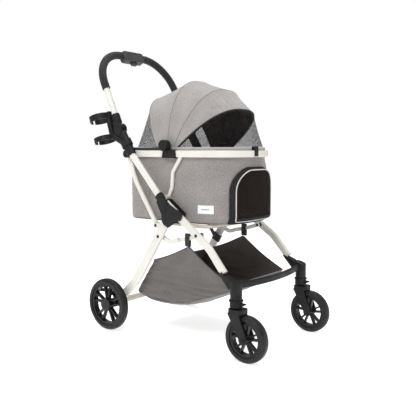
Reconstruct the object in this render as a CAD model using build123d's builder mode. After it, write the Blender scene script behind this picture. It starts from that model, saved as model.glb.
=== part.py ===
from build123d import *
import os
from math import atan2, cos, degrees, hypot, pi, radians, sin, tan

# A folding four-wheeled pet stroller: two crossed leg frames meet at a hub on each side, a push
# frame rises from the hubs to a folding handle and carries a fabric cabin with a fan canopy.
# +X is forward, +Y is the stroller's left, +Z is up. Millimetres. The origin lies on the floor,
# midway between the front and rear ends. (x, z) pairs are points in the side view.

# ---------------------------------------------------------------- driving dimensions
# wheels
REAR_WHEEL_RADIUS = 95
REAR_WHEEL_WIDTH = 30
REAR_WHEEL_Y = 224
REAR_AXLE_X = -288
FRONT_WHEEL_RADIUS = 76
FRONT_WHEEL_WIDTH = 30
CASTER_X = 278
CASTER_Y = 207
CASTER_LEAD = 40            # the wheel stands ahead of its swivel axis at rest
TYRE_DEPTH = 18
RIM_THICKNESS = 9
RIM_WIDTH = 22
SPOKE_PAIRS = 5
SPOKE_SPREAD = 12           # degrees of each spoke from the middle of its pair
AXLE_RADIUS = 5
RUNNING_CLEARANCE = 0.05    # radial, between a shaft and what turns on it
SIDE_CLEARANCE = 0.5        # axial, between a part and its neighbour on another body

# side-view pivots
HUB = (-30, 480)            # push frame on front legs
LEG_PIVOT = (-25, 424)      # rear legs on the hub plates
STRUT_TOP = (-214, 650)     # struts on the push frame
STRUT_FOOT = (-80, 401)     # struts on the rear legs
LINK_REAR = (-62, 364)      # rear links on the rear legs
LINK_MIDDLE = (10, 356)     # rear links on the front links
LINK_FRONT = (112, 382)     # front links on the front legs
DRUM = (-241, 738)          # handle on the push frame
CANOPY_PIVOT = (-37, 679)   # canopy bows on the rail brackets

# tubes: width is in the side view, depth is across the stroller
WALL = 1.6
FRONT_LEG_WIDTH = 28
REAR_LEG_WIDTH = 33
LEG_DEPTH = 16
PUSH_TUBE_WIDTH = 25
STRUT_WIDTH = 18
LINK_WIDTH = 14
BRACE_WIDTH = 11
RAIL_HEIGHT = 23
RAIL_DEPTH = 10

# planes of the side pieces: inner face of each, measured from the middle of the stroller
LINK_FRONT_Y = 166
LINK_REAR_Y = 173.5
LINK_DEPTH = 6
HUB_PLATE_Y = 170
HUB_PLATE_DEPTH = 6.5
STRUT_Y = 174.5
STRUT_DEPTH = 12
FRONT_LEG_HUB_Y = 177.5     # at the hub, from where the front legs splay outwards
REAR_LEG_Y = 181
PUSH_TUBE_Y = 189
HUB_COVER_Y = 200.5
HUB_COVER_DEPTH = 8
BRACE_Y = 170

# front legs
FRONT_LEG_KNEE = (165, 344)
FRONT_LEG_FOOT = (228, 271)
FRONT_LEG_BEND = 130

# rear legs
REAR_LEG_KNEE = (-175, 192)
REAR_LEG_FOOT = (-268, 107)
REAR_LEG_BEND = 350

# push frame and handle
PUSH_KNEE = (-188, 654)
RAIL_TOP = 662
RAIL_REAR_X = -190
RAIL_FRONT_X = 213
RAIL_HALF_WIDTH = 178
RAIL_CORNER = 140
BRACKET_X = (-55, 8)
HANDLE_LEAN = 25            # degrees back from upright
HANDLE_Y = 196
HANDLE_TUBE_RADIUS = 11
SOCKET_LENGTH = 58
GRIP_START = 162            # along the handle from the drum
HANDLE_TOP = 318
HANDLE_CORNER = 135
GRIP_RADIUS = 14.5

# cabin and canopy
CABIN_REAR_X = -242
CABIN_BOTTOM = 415
CABIN_TOP = 661
CABIN_GAP = 2.5             # between the rail's inner face and the cabin's fabric
CABIN_WALL = 3
CANOPY_BASE = 668
CANOPY_HALF_WIDTH = 161
CANOPY_ROUNDNESS = 2.56     # exponent of the bows' superellipse
CANOPY_CLOTH = 2
BOWS = {                    # base x, angle from forward, height along its plane
    "bow_rear": (-95, 114.5, 210),
    "bow_mid_rear": (-47, 85.9, 242),
    "bow_mid_front": (-22, 61.8, 232),
    "bow_front": (-7, 38.9, 214),
}

# cup holder, on the right sleeve
CUP_UPPER = (-337, 778)
CUP_LOWER = (-314, 701)
CUP_Y = -203
CUP_OUTER_RADIUS = 40
CUP_WALL = 4.5
CUP_BAND = 20

os.makedirs("parts", exist_ok=True)


def write(builder, name):
    """Label a finished piece and write it out."""
    builder.part.label = name
    export_step(builder.part, f"parts/{name}.step")


def side_plane(y):
    """Side-view plane (x, z) at the given distance from the middle, extruding inwards."""
    return Plane((0, y, 0), x_dir=(1, 0, 0), z_dir=(0, -1, 0))


def plate(outline, inner_y, depth):
    """Add a left-hand plate of the given side-view sketch."""
    extrude(side_plane(inner_y + depth) * outline, amount=depth)


def direction(start, end):
    """Angle in degrees of the side-view line from start to end."""
    return degrees(atan2(end[1] - start[1], end[0] - start[0]))


def along(start, angle, distance):
    """Side-view point at a distance from start."""
    return (start[0] + distance * cos(radians(angle)), start[1] + distance * sin(radians(angle)))


def flat_tube(path, width, depth, wall=WALL):
    """Sweep a hollow flat-oval tube along a path that runs beside the stroller."""
    with BuildSketch(Plane(origin=path @ 0, x_dir=(0, 1, 0), z_dir=path % 0)) as section:
        SlotOverall(width, depth, rotation=90)
        SlotOverall(width - 2 * wall, depth - 2 * wall, rotation=90, mode=Mode.SUBTRACT)
    sweep(section.sketch, path=path)


def pin(point, radius, low_y, high_y, mode=Mode.ADD):
    """Cylinder across the stroller, between two distances from its middle."""
    plane = Plane((point[0], high_y, point[1]), x_dir=(1, 0, 0), z_dir=(0, -1, 0))
    with BuildSketch(plane) as disc:
        Circle(radius)
    extrude(disc.sketch, amount=high_y - low_y, mode=mode)


def rivet_head(point, face_y, outward=1, radius=5.5, height=2.2):
    """Domed rivet head standing on a side face."""
    plane = Plane((point[0], face_y, point[1]), x_dir=(1, 0, 0), z_dir=(0, outward, 0))
    with BuildSketch(plane) as disc:
        Circle(radius)
    extrude(disc.sketch, amount=height, taper=25)


def leg_y(x):
    """Middle of the splayed front leg's depth at a given x."""
    return FRONT_LEG_HUB_Y + LEG_DEPTH / 2 + (x - HUB[0]) * SPLAY


SPLAY = (CASTER_Y - 3 - FRONT_LEG_HUB_Y - LEG_DEPTH / 2) / (CASTER_X - 25 - HUB[0])
FRONT_WHEEL_X = CASTER_X + CASTER_LEAD
HINGE_RADIUS = 6
PIVOT_RADIUS = 4
BOW_WIDTH = 6
BOW_THICKNESS = 3
EYE_RADIUS = 10
EYE_DEPTH = 2.2
EYE_PITCH = 2.8
EYE_ORDER = ("bow_rear", "bow_front", "bow_mid_front", "bow_mid_rear")     # from the inside out
EYE_FIRST_Y = 144
STRUT_FOOT_PLAY = 3.2         # the struts' feet are slack on their pins

# ---------------------------------------------------------------- front frame
# Front legs: flat-oval tubes from the hubs down to the caster housings.
with BuildPart() as front_legs:
    stations = [(p[0], leg_y(p[0]), p[1]) for p in (HUB, FRONT_LEG_KNEE, FRONT_LEG_FOOT)]
    with BuildLine(mode=Mode.PRIVATE) as leg_line:
        FilletPolyline(*stations, radius=FRONT_LEG_BEND)
    flat_tube(leg_line.wire(), FRONT_LEG_WIDTH, LEG_DEPTH)
    pin(HUB, HINGE_RADIUS, HUB_PLATE_Y, HUB_COVER_Y, mode=Mode.SUBTRACT)
    pin(LINK_FRONT, PIVOT_RADIUS, HUB_PLATE_Y, CASTER_Y, mode=Mode.SUBTRACT)
    mirror(about=Plane.XZ)
write(front_legs, "front_legs")

# Hub plates: inner halves of the hubs, with the two pivot pins of each side.
with BuildPart() as hub_plates:
    leg_angle = direction(HUB, FRONT_LEG_KNEE)
    with BuildSketch() as plate_outline:
        with BuildLine():
            Polyline(
                along(HUB, 132, 17), along(HUB, 60, 19), along(along(HUB, leg_angle, 80), 55, 17),
                along(along(HUB, leg_angle, 82), 235, 16), along(LEG_PIVOT, -30, 22),
                along(LEG_PIVOT, 235, 20), along(LEG_PIVOT, 180, 19), along(HUB, 190, 18), close=True)
        make_face()
        fillet(vertices(), radius=6)
    plate(plate_outline.sketch, HUB_PLATE_Y, HUB_PLATE_DEPTH)
    pin(HUB, HINGE_RADIUS, HUB_PLATE_Y, HUB_COVER_Y + HUB_COVER_DEPTH - 3)
    pin(LEG_PIVOT, HINGE_RADIUS, HUB_PLATE_Y, REAR_LEG_Y + LEG_DEPTH + 1)
    pin(LEG_PIVOT, 12, HUB_PLATE_Y, REAR_LEG_Y - SIDE_CLEARANCE)
    mirror(about=Plane.XZ)
write(hub_plates, "hub_plates")

# Caster housings: a sleeve on the foot of each leg, fused with an upright bearing barrel.
BARREL_RADIUS = 19
BARREL_BOTTOM = 194
BARREL_TOP = 252
COLLAR_BOTTOM = 172
SLEEVE_LENGTH = 66
SLEEVE_WALL = 3
foot_angle = direction(FRONT_LEG_KNEE, FRONT_LEG_FOOT)
TUBE_SEAT = 14.2
SLEEVE_TOP = along(FRONT_LEG_FOOT, foot_angle, -14)


def splayed_plane(point):
    """Section plane across the front leg's lower run."""
    run = Vector(1, SPLAY, tan(radians(foot_angle))).normalized()
    return Plane(origin=(point[0], leg_y(point[0]), point[1]), x_dir=(0, 1, 0), z_dir=run)


with BuildPart() as caster_housings:
    with BuildSketch(splayed_plane(SLEEVE_TOP)) as sleeve_section:
        SlotOverall(FRONT_LEG_WIDTH + 2 * SLEEVE_WALL, LEG_DEPTH + 2 * SLEEVE_WALL, rotation=90)
    extrude(sleeve_section.sketch, amount=SLEEVE_LENGTH)
    with BuildSketch(Plane((CASTER_X, CASTER_Y, BARREL_BOTTOM))) as barrel_section:
        Circle(BARREL_RADIUS)
    extrude(barrel_section.sketch, amount=BARREL_TOP + 20 - BARREL_BOTTOM)
    cap_plane = Plane((CASTER_X, CASTER_Y, BARREL_TOP), z_dir=(0.35, 0, 1))
    split(bisect_by=cap_plane, keep=Keep.BOTTOM)
    fillet(edges().group_by(Axis.Z)[-1], radius=2.5)
    with BuildSketch(splayed_plane(SLEEVE_TOP)) as tube_seat:
        SlotOverall(FRONT_LEG_WIDTH + 0.2, LEG_DEPTH + 0.2, rotation=90)
    extrude(tube_seat.sketch, amount=TUBE_SEAT, mode=Mode.SUBTRACT)
    with BuildSketch(Plane((CASTER_X, CASTER_Y, BARREL_BOTTOM - 3))) as flange:
        Circle(BARREL_RADIUS + 4)
    extrude(flange.sketch, amount=4)
    with BuildSketch(Plane((CASTER_X, CASTER_Y, COLLAR_BOTTOM))) as collar:
        Circle(BARREL_RADIUS + 1.5)
    extrude(collar.sketch, amount=BARREL_BOTTOM - COLLAR_BOTTOM)
    with BuildSketch(Plane((CASTER_X + BARREL_RADIUS, CASTER_Y, COLLAR_BOTTOM))) as lever_seat:
        Rectangle(12, 15)
    extrude(lever_seat.sketch, amount=16, mode=Mode.SUBTRACT)
    with BuildSketch(Plane((CASTER_X, CASTER_Y, COLLAR_BOTTOM))) as stem_hole:
        Circle(7 + RUNNING_CLEARANCE)
    extrude(stem_hole.sketch, amount=40, mode=Mode.SUBTRACT)
    mirror(about=Plane.XZ)
write(caster_housings, "caster_housings")

# Front cross bar: a bowed hollow bar with a groove along its face, from housing to housing.
CROSS_BAR_Z = 237
CROSS_BAR_BOW = 27
CROSS_BAR_HEIGHT = 21
CROSS_BAR_DEPTH = 14
bar_end = CASTER_Y - BARREL_RADIUS + 0.4
with BuildPart() as front_cross_bar:
    with BuildLine(mode=Mode.PRIVATE) as bar_line:
        ThreePointArc(
            (CASTER_X - 4, -bar_end, CROSS_BAR_Z), (CASTER_X - 5 + CROSS_BAR_BOW, 0, CROSS_BAR_Z),
            (CASTER_X - 4, bar_end, CROSS_BAR_Z))
    bar_start = Plane(origin=bar_line.wire() @ 0, x_dir=(0, 0, 1), z_dir=bar_line.wire() % 0)
    with BuildSketch(bar_start) as bar_section:
        RectangleRounded(CROSS_BAR_HEIGHT, CROSS_BAR_DEPTH, 5)
        with Locations((0, -CROSS_BAR_DEPTH / 2)):
            Rectangle(3, 3, mode=Mode.SUBTRACT)
    sweep(bar_section.sketch, path=bar_line.wire())
    with BuildSketch(Plane.XY.offset(BARREL_BOTTOM)) as barrels:
        with Locations((CASTER_X, CASTER_Y), (CASTER_X, -CASTER_Y)):
            Circle(BARREL_RADIUS)
    extrude(barrels.sketch, amount=100, mode=Mode.SUBTRACT)
write(front_cross_bar, "front_cross_bar")

# Rivets of the front frame: heads on the legs at the link pins, and on the housing sleeves.
with BuildPart() as front_rivets:
    inner_face = leg_y(LINK_FRONT[0]) - LEG_DEPTH / 2 - SPLAY * LINK_WIDTH / 2
    outer_face = leg_y(LINK_FRONT[0]) + LEG_DEPTH / 2 + SPLAY * LINK_WIDTH / 2
    pin(LINK_FRONT, PIVOT_RADIUS, LINK_FRONT_Y - 1, outer_face)
    pin(LINK_FRONT, LINK_WIDTH / 2, LINK_FRONT_Y + LINK_DEPTH + SIDE_CLEARANCE, inner_face)
    rivet_head(LINK_FRONT, LINK_FRONT_Y - 1, outward=-1)
    rivet_head(LINK_FRONT, outer_face)
    sleeve_rivet = along(SLEEVE_TOP, foot_angle, 10)
    rivet_head(sleeve_rivet, leg_y(sleeve_rivet[0] + 4) + LEG_DEPTH / 2 + SLEEVE_WALL, radius=3.5)
    mirror(about=Plane.XZ)
write(front_rivets, "front_rivets")

# Front links: flat bars from the front legs back to the middle pivot, which is open.
with BuildPart() as front_links:
    with BuildSketch() as link_outline:
        with BuildLine():
            FilletPolyline(LINK_FRONT, (60, 366), along(LINK_MIDDLE, 5, 2), radius=60)
        trace(line_width=LINK_WIDTH)
        with Locations(LINK_FRONT, LINK_MIDDLE):
            Circle(LINK_WIDTH / 2)
        with Locations(LINK_FRONT):
            Circle(PIVOT_RADIUS + RUNNING_CLEARANCE, mode=Mode.SUBTRACT)
    plate(link_outline.sketch, LINK_FRONT_Y, LINK_DEPTH)
    mirror(about=Plane.XZ)
write(front_links, "front_links")

# ---------------------------------------------------------------- casters
FORK_CROWN_TOP = 168
FORK_CROWN_BOTTOM = 154
FORK_GAP = FRONT_WHEEL_WIDTH / 2 + 3
FORK_BLADE = 6
with_sides = (("left", 1), ("right", -1))


def caster_fork(side):
    """Fork with its swivel stem, two tapered blades and the wheel's axle pin."""
    y = side * CASTER_Y
    with BuildPart() as fork:
        with BuildSketch(Plane((CASTER_X, y, FORK_CROWN_TOP - 2))) as stem:
            Circle(7)
        extrude(stem.sketch, amount=40)
        with BuildSketch(Plane((CASTER_X + 7, y, FORK_CROWN_BOTTOM))) as crown:
            RectangleRounded(54, 2 * (FORK_GAP + FORK_BLADE), 14)
        extrude(crown.sketch, amount=FORK_CROWN_TOP - FORK_CROWN_BOTTOM)
        fillet(edges().filter_by(GeomType.PLANE, reverse=True).group_by(Axis.Z)[-1], radius=2)
        blade_top = FORK_CROWN_BOTTOM + 2
        for outer_face in (FORK_GAP + FORK_BLADE, -FORK_GAP):
            with BuildSketch(side_plane(y + outer_face)) as blade:
                with BuildLine():
                    Polyline(
                        (CASTER_X - 18, blade_top), (CASTER_X + 24, blade_top),
                        (FRONT_WHEEL_X + 14, FRONT_WHEEL_RADIUS + 4),
                        (FRONT_WHEEL_X - 14, FRONT_WHEEL_RADIUS + 2), close=True)
                make_face()
                with Locations((FRONT_WHEEL_X, FRONT_WHEEL_RADIUS)):
                    Circle(14.5)
            extrude(blade.sketch, amount=FORK_BLADE)
        hub = (FRONT_WHEEL_X, FRONT_WHEEL_RADIUS)
        pin(hub, AXLE_RADIUS, y - FORK_GAP - FORK_BLADE, y + FORK_GAP + FORK_BLADE)
        rivet_head(hub, y + FORK_GAP + FORK_BLADE, radius=7, height=2)
        rivet_head(hub, y - FORK_GAP - FORK_BLADE, outward=-1, radius=7, height=2)
    return fork


def spoked_rim(centre, y, radius, width, hub_radius):
    """Plastic wheel centre: rim ring, hub with its bore, and pairs of spokes."""
    ring = radius - TYRE_DEPTH
    with BuildPart() as rim:
        plane = Plane((centre[0], y, centre[1]), x_dir=(1, 0, 0), z_dir=(0, -1, 0))
        with BuildSketch(plane) as ring_face:
            Circle(ring)
            Circle(ring - RIM_THICKNESS, mode=Mode.SUBTRACT)
        extrude(ring_face.sketch, amount=RIM_WIDTH / 2, both=True)
        with BuildSketch(plane) as spoke_face:
            for lean in (-SPOKE_SPREAD, SPOKE_SPREAD):
                with PolarLocations(ring / 2, SPOKE_PAIRS, start_angle=90 + lean):
                    Rectangle(ring - 4, 6)
            Circle(ring - RIM_THICKNESS / 2, mode=Mode.INTERSECT)
        extrude(spoke_face.sketch, amount=RIM_WIDTH / 2 - 4, both=True)
        with BuildSketch(plane) as hub_face:
            Circle(hub_radius)
        extrude(hub_face.sketch, amount=width / 2, both=True)
        pin(centre, AXLE_RADIUS + RUNNING_CLEARANCE, y - width, y + width, mode=Mode.SUBTRACT)
    return rim


def tyre(centre, y, radius, width):
    """Solid tyre with rounded shoulders, seated on the rim ring."""
    seat = radius - TYRE_DEPTH
    with BuildPart() as ring:
        plane = Plane((centre[0], y, centre[1]), x_dir=(0, 1, 0), z_dir=(1, 0, 0))
        with BuildSketch(plane) as section:
            with Locations((0, seat + TYRE_DEPTH / 2)):
                Rectangle(width, TYRE_DEPTH)
            fillet(section.vertices().group_by(Axis.Y)[-1], radius=TYRE_DEPTH * 0.6)
            fillet(section.vertices().group_by(Axis.Y)[0], radius=3)
        revolve(section.sketch, axis=Axis((centre[0], 0, centre[1]), (0, 1, 0)))
    return ring


for side_name, side in with_sides:
    front_hub = (FRONT_WHEEL_X, FRONT_WHEEL_RADIUS)
    rear_hub = (REAR_AXLE_X, REAR_WHEEL_RADIUS)
    write(caster_fork(side), f"caster_fork_{side_name}")
    hub_width = 2 * (FORK_GAP - SIDE_CLEARANCE)
    write(spoked_rim(front_hub, side * CASTER_Y, FRONT_WHEEL_RADIUS, hub_width, 13),
          f"front_rim_{side_name}")
    write(tyre(front_hub, side * CASTER_Y, FRONT_WHEEL_RADIUS, FRONT_WHEEL_WIDTH),
          f"front_tyre_{side_name}")
    write(spoked_rim(rear_hub, side * REAR_WHEEL_Y, REAR_WHEEL_RADIUS, REAR_WHEEL_WIDTH - 4, 20),
          f"rear_rim_{side_name}")
    write(tyre(rear_hub, side * REAR_WHEEL_Y, REAR_WHEEL_RADIUS, REAR_WHEEL_WIDTH),
          f"rear_tyre_{side_name}")

# Swivel locks: small levers that hinge up out of a notch in the front of each housing's collar.
LOCK_PIVOT = (CASTER_X + BARREL_RADIUS - 2.5, 183)
for side_name, side in with_sides:
    with BuildPart() as swivel_lock:
        y = side * CASTER_Y
        with BuildSketch(side_plane(y + 7)) as lever_outline:
            with BuildLine():
                Polyline(
                    along(LOCK_PIVOT, 90, 3.2), (LOCK_PIVOT[0] + 16, 186), (LOCK_PIVOT[0] + 18, 183),
                    (LOCK_PIVOT[0] + 6, 176), along(LOCK_PIVOT, -90, 3.2), close=True)
            make_face()
            with Locations(LOCK_PIVOT):
                Circle(3.2)
        extrude(lever_outline.sketch, amount=14)
    write(swivel_lock, f"swivel_lock_{side_name}")

# ---------------------------------------------------------------- rear frame
leg_run = direction(LEG_PIVOT, REAR_LEG_KNEE)
bracket_run = direction(REAR_LEG_KNEE, REAR_LEG_FOOT)
LEG_HEAD = along(LEG_PIVOT, leg_run, -14)
REAR_LEG_MIDDLE_Y = REAR_LEG_Y + LEG_DEPTH / 2
AXLE_TUBE_RADIUS = 11
REAR_HUB = (REAR_AXLE_X, REAR_WHEEL_RADIUS)

# Rear legs: wide flat-oval tubes from the leg pivots down to the axle brackets.
with BuildPart() as rear_legs:
    stations = [(p[0], REAR_LEG_MIDDLE_Y, p[1]) for p in (LEG_HEAD, REAR_LEG_KNEE, REAR_LEG_FOOT)]
    with BuildLine(mode=Mode.PRIVATE) as leg_line:
        FilletPolyline(*stations, radius=REAR_LEG_BEND)
    flat_tube(leg_line.wire(), REAR_LEG_WIDTH, LEG_DEPTH)
    pin(LEG_PIVOT, HINGE_RADIUS + RUNNING_CLEARANCE, REAR_LEG_Y - 1, REAR_LEG_Y + LEG_DEPTH + 1,
        mode=Mode.SUBTRACT)
    mirror(about=Plane.XZ)
write(rear_legs, "rear_legs")

# Rear axle: a tube between the brackets, stepped down to the shafts that the wheels turn on.
AXLE_END_Y = REAR_WHEEL_Y + REAR_WHEEL_WIDTH / 2 - 3
AXLE_STEP_Y = REAR_WHEEL_Y - REAR_WHEEL_WIDTH / 2 - 1
with BuildPart() as rear_axle:
    pin(REAR_HUB, AXLE_TUBE_RADIUS, -AXLE_STEP_Y, AXLE_STEP_Y)
    pin(REAR_HUB, AXLE_RADIUS, -AXLE_END_Y, AXLE_END_Y)
write(rear_axle, "rear_axle")

# Axle brackets: moulded elbows that join each rear leg to the axle tube and carry the brake.
BRACKET_INNER_Y = REAR_LEG_Y - 5
BRACKET_DEPTH = LEG_DEPTH + 10
BRACKET_SOCKET = 34
BRAKE_PIVOT = along(REAR_HUB, 118, 36)
with BuildPart() as axle_brackets:
    pin(REAR_HUB, AXLE_TUBE_RADIUS + 6, BRACKET_INNER_Y, BRACKET_INNER_Y + BRACKET_DEPTH)
    socket_start = Plane(
        origin=(REAR_LEG_FOOT[0], REAR_LEG_MIDDLE_Y, REAR_LEG_FOOT[1]), x_dir=(0, 1, 0),
        z_dir=(-cos(radians(bracket_run)), 0, -sin(radians(bracket_run))))
    with BuildSketch(socket_start.offset(-14)) as socket_section:
        SlotOverall(REAR_LEG_WIDTH + 7, LEG_DEPTH + 7, rotation=90)
    extrude(socket_section.sketch, amount=BRACKET_SOCKET)
    with BuildSketch(socket_start) as leg_seat:
        SlotOverall(REAR_LEG_WIDTH, LEG_DEPTH, rotation=90)
    extrude(leg_seat.sketch, amount=BRACKET_SOCKET, mode=Mode.SUBTRACT)
    with BuildSketch() as brake_ear:
        with BuildLine():
            Line(REAR_HUB, BRAKE_PIVOT)
        trace(line_width=20)
        with Locations(BRAKE_PIVOT):
            Circle(9)
    plate(brake_ear.sketch, BRACKET_INNER_Y, 6)
    pin(BRAKE_PIVOT, PIVOT_RADIUS, BRACKET_INNER_Y, BRACKET_INNER_Y + BRACKET_DEPTH - 2)
    pin(REAR_HUB, AXLE_TUBE_RADIUS, BRACKET_INNER_Y - 1, BRACKET_INNER_Y + BRACKET_DEPTH + 1,
        mode=Mode.SUBTRACT)
    mirror(about=Plane.XZ)
write(axle_brackets, "axle_brackets")

# Strut tabs: pairs of ears on the rear legs that hold the struts' feet, with their pins.
TAB_DEPTH = 2.2
with BuildPart() as strut_tabs:
    with BuildSketch() as tab_outline:
        with BuildLine():
            Line(STRUT_FOOT, along(LEG_PIVOT, leg_run, 26))
        trace(line_width=16)
        with Locations(STRUT_FOOT):
            Circle(9.5)
    tab_faces = (STRUT_Y - SIDE_CLEARANCE - TAB_DEPTH, STRUT_Y + STRUT_DEPTH + SIDE_CLEARANCE)
    plate(tab_outline.sketch, tab_faces[1], TAB_DEPTH)
    with BuildSketch() as inner_tab:
        with Locations(STRUT_FOOT):
            Circle(9.5)
    plate(inner_tab.sketch, tab_faces[0], TAB_DEPTH)
    pin(STRUT_FOOT, PIVOT_RADIUS - 1, tab_faces[0], tab_faces[1] + TAB_DEPTH)
    flat_seat = [(p[0], REAR_LEG_MIDDLE_Y, p[1]) for p in (LEG_HEAD, REAR_LEG_KNEE)]
    with BuildLine(mode=Mode.PRIVATE) as seat_line:
        Line(*flat_seat)
    with BuildSketch(Plane(origin=seat_line.wire() @ 0, x_dir=(0, 1, 0),
                           z_dir=seat_line.wire() % 0)) as leg_section:
        SlotOverall(REAR_LEG_WIDTH, LEG_DEPTH, rotation=90)
    sweep(leg_section.sketch, path=seat_line.wire(), mode=Mode.SUBTRACT)
    mirror(about=Plane.XZ)
write(strut_tabs, "strut_tabs")

# Rivets of the rear frame: link pins on the inner faces and heads on the outer faces.
with BuildPart() as rear_rivets:
    pin(LINK_REAR, PIVOT_RADIUS, LINK_REAR_Y - 1, REAR_LEG_Y)
    pin(LINK_REAR, LINK_WIDTH / 2, LINK_REAR_Y + LINK_DEPTH + SIDE_CLEARANCE, REAR_LEG_Y)
    rivet_head(LINK_REAR, LINK_REAR_Y - 1, outward=-1)
    rivet_head(LINK_REAR, REAR_LEG_Y + LEG_DEPTH)
    rivet_head(STRUT_FOOT, tab_faces[1] + TAB_DEPTH)
    mirror(about=Plane.XZ)
write(rear_rivets, "rear_rivets")

# Rear links: flat bars that dip from the rear legs forward to the middle pivot.
with BuildPart() as rear_links:
    with BuildSketch() as link_outline:
        with BuildLine():
            FilletPolyline(LINK_REAR, (-24, 345), LINK_MIDDLE, radius=30)
        trace(line_width=LINK_WIDTH)
        with Locations(LINK_REAR, LINK_MIDDLE):
            Circle(LINK_WIDTH / 2)
        with Locations(LINK_REAR):
            Circle(PIVOT_RADIUS + RUNNING_CLEARANCE, mode=Mode.SUBTRACT)
    plate(link_outline.sketch, LINK_REAR_Y, LINK_DEPTH)
    rivet_head(LINK_MIDDLE, LINK_REAR_Y + LINK_DEPTH)
    mirror(about=Plane.XZ)
write(rear_links, "rear_links")

# Brake pedals: foot levers on the axle brackets' pins, reaching back beside the wheels.
for side_name, side in with_sides:
    with BuildPart() as brake_pedal:
        low_y = BRACKET_INNER_Y + 6 + SIDE_CLEARANCE
        high_y = REAR_WHEEL_Y - REAR_WHEEL_WIDTH / 2 - 3
        with BuildSketch(side_plane(high_y)) as pedal_outline:
            with BuildLine():
                FilletPolyline(BRAKE_PIVOT, along(BRAKE_PIVOT, 150, 20), along(BRAKE_PIVOT, 172, 52),
                               radius=12)
            trace(line_width=8)
            with Locations(BRAKE_PIVOT):
                Circle(8)
                Circle(PIVOT_RADIUS + RUNNING_CLEARANCE, mode=Mode.SUBTRACT)
        extrude(pedal_outline.sketch, amount=high_y - low_y)
        if side < 0:
            mirror(about=Plane.XZ, mode=Mode.REPLACE)
    write(brake_pedal, f"brake_pedal_{side_name}")

# Rear hub caps: domed discs over the outer ends of the axle, turning with the wheels.
for side_name, side in with_sides:
    with BuildPart() as hub_cap:
        cap_face = side * (REAR_WHEEL_Y + REAR_WHEEL_WIDTH / 2 - 2)
        cap_plane = Plane((REAR_AXLE_X, cap_face, REAR_WHEEL_RADIUS), x_dir=(1, 0, 0),
                          z_dir=(0, side, 0))
        with BuildSketch(cap_plane) as cap_disc:
            Circle(24)
        extrude(cap_disc.sketch, amount=4)
        fillet(edges().group_by(Axis.Y)[-1 if side > 0 else 0], radius=2.5)
    write(hub_cap, f"rear_hub_cap_{side_name}")

# ---------------------------------------------------------------- push frame
PUSH_TUBE_DEPTH = 16
PUSH_MIDDLE_Y = PUSH_TUBE_Y + PUSH_TUBE_DEPTH / 2
push_angle = direction(HUB, PUSH_KNEE)
sleeve_angle = direction(PUSH_KNEE, DRUM)
handle_angle = 90 + HANDLE_LEAN
HUB_NECK_START = 18
HUB_NECK_LENGTH = 22
DRUM_RADIUS = 21
DRUM_DEPTH = 13
DRUM_SPLIT_Y = 196.5        # between the sleeves' drum halves and the handle's
SLEEVE_DEPTH = PUSH_TUBE_DEPTH + 6
SLEEVE_WIDTH = PUSH_TUBE_WIDTH + 12

# Push tubes: flat-oval tubes from the hub covers up into the black sleeves.
with BuildPart() as push_tubes:
    stations = [
        (p[0], PUSH_MIDDLE_Y, p[1])
        for p in (along(HUB, push_angle, HUB_NECK_START + 4), along(PUSH_KNEE, push_angle, 4))]
    with BuildLine(mode=Mode.PRIVATE) as tube_line:
        Line(*stations)
    flat_tube(tube_line.wire(), PUSH_TUBE_WIDTH, PUSH_TUBE_DEPTH)
    mirror(about=Plane.XZ)
write(push_tubes, "push_tubes")

# Hub covers: outer halves of the hubs, each with a neck that grips the foot of its push tube.
with BuildPart() as hub_covers:
    with BuildSketch() as cover_outline:
        with BuildLine():
            Polyline(
                along(along(HUB, push_angle, 26), push_angle + 90, 17),
                along(along(HUB, push_angle, 26), push_angle - 90, 17),
                (-2, 480), (22, 467), (56, 452), (46, 428), (20, 419), (-8, 399), (-28, 409),
                (-37, 424), (-36, 442), (-50, 466), close=True)
        make_face()
        fillet(vertices(), radius=7)
    plate(cover_outline.sketch, HUB_COVER_Y, HUB_COVER_DEPTH)
    outer_rim = faces().sort_by(Axis.Y)[-1].edges()
    fillet(outer_rim, radius=4)
    neck_foot = along(HUB, push_angle, HUB_NECK_START)
    neck_plane = Plane(
        origin=(neck_foot[0], PUSH_MIDDLE_Y, neck_foot[1]), x_dir=(0, 1, 0),
        z_dir=(cos(radians(push_angle)), 0, sin(radians(push_angle))))
    with BuildSketch(neck_plane) as neck:
        SlotOverall(PUSH_TUBE_WIDTH + 7, PUSH_TUBE_DEPTH + 6, rotation=90)
    extrude(neck.sketch, amount=HUB_NECK_LENGTH)
    with BuildSketch(neck_plane.offset(4)) as tube_seat:
        SlotOverall(PUSH_TUBE_WIDTH, PUSH_TUBE_DEPTH, rotation=90)
    extrude(tube_seat.sketch, amount=HUB_NECK_LENGTH, mode=Mode.SUBTRACT)
    pin(HUB, HINGE_RADIUS + RUNNING_CLEARANCE, HUB_COVER_Y - 15, HUB_COVER_Y + HUB_COVER_DEPTH - 2.5,
        mode=Mode.SUBTRACT)
    mirror(about=Plane.XZ)
write(hub_covers, "hub_covers")

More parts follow.
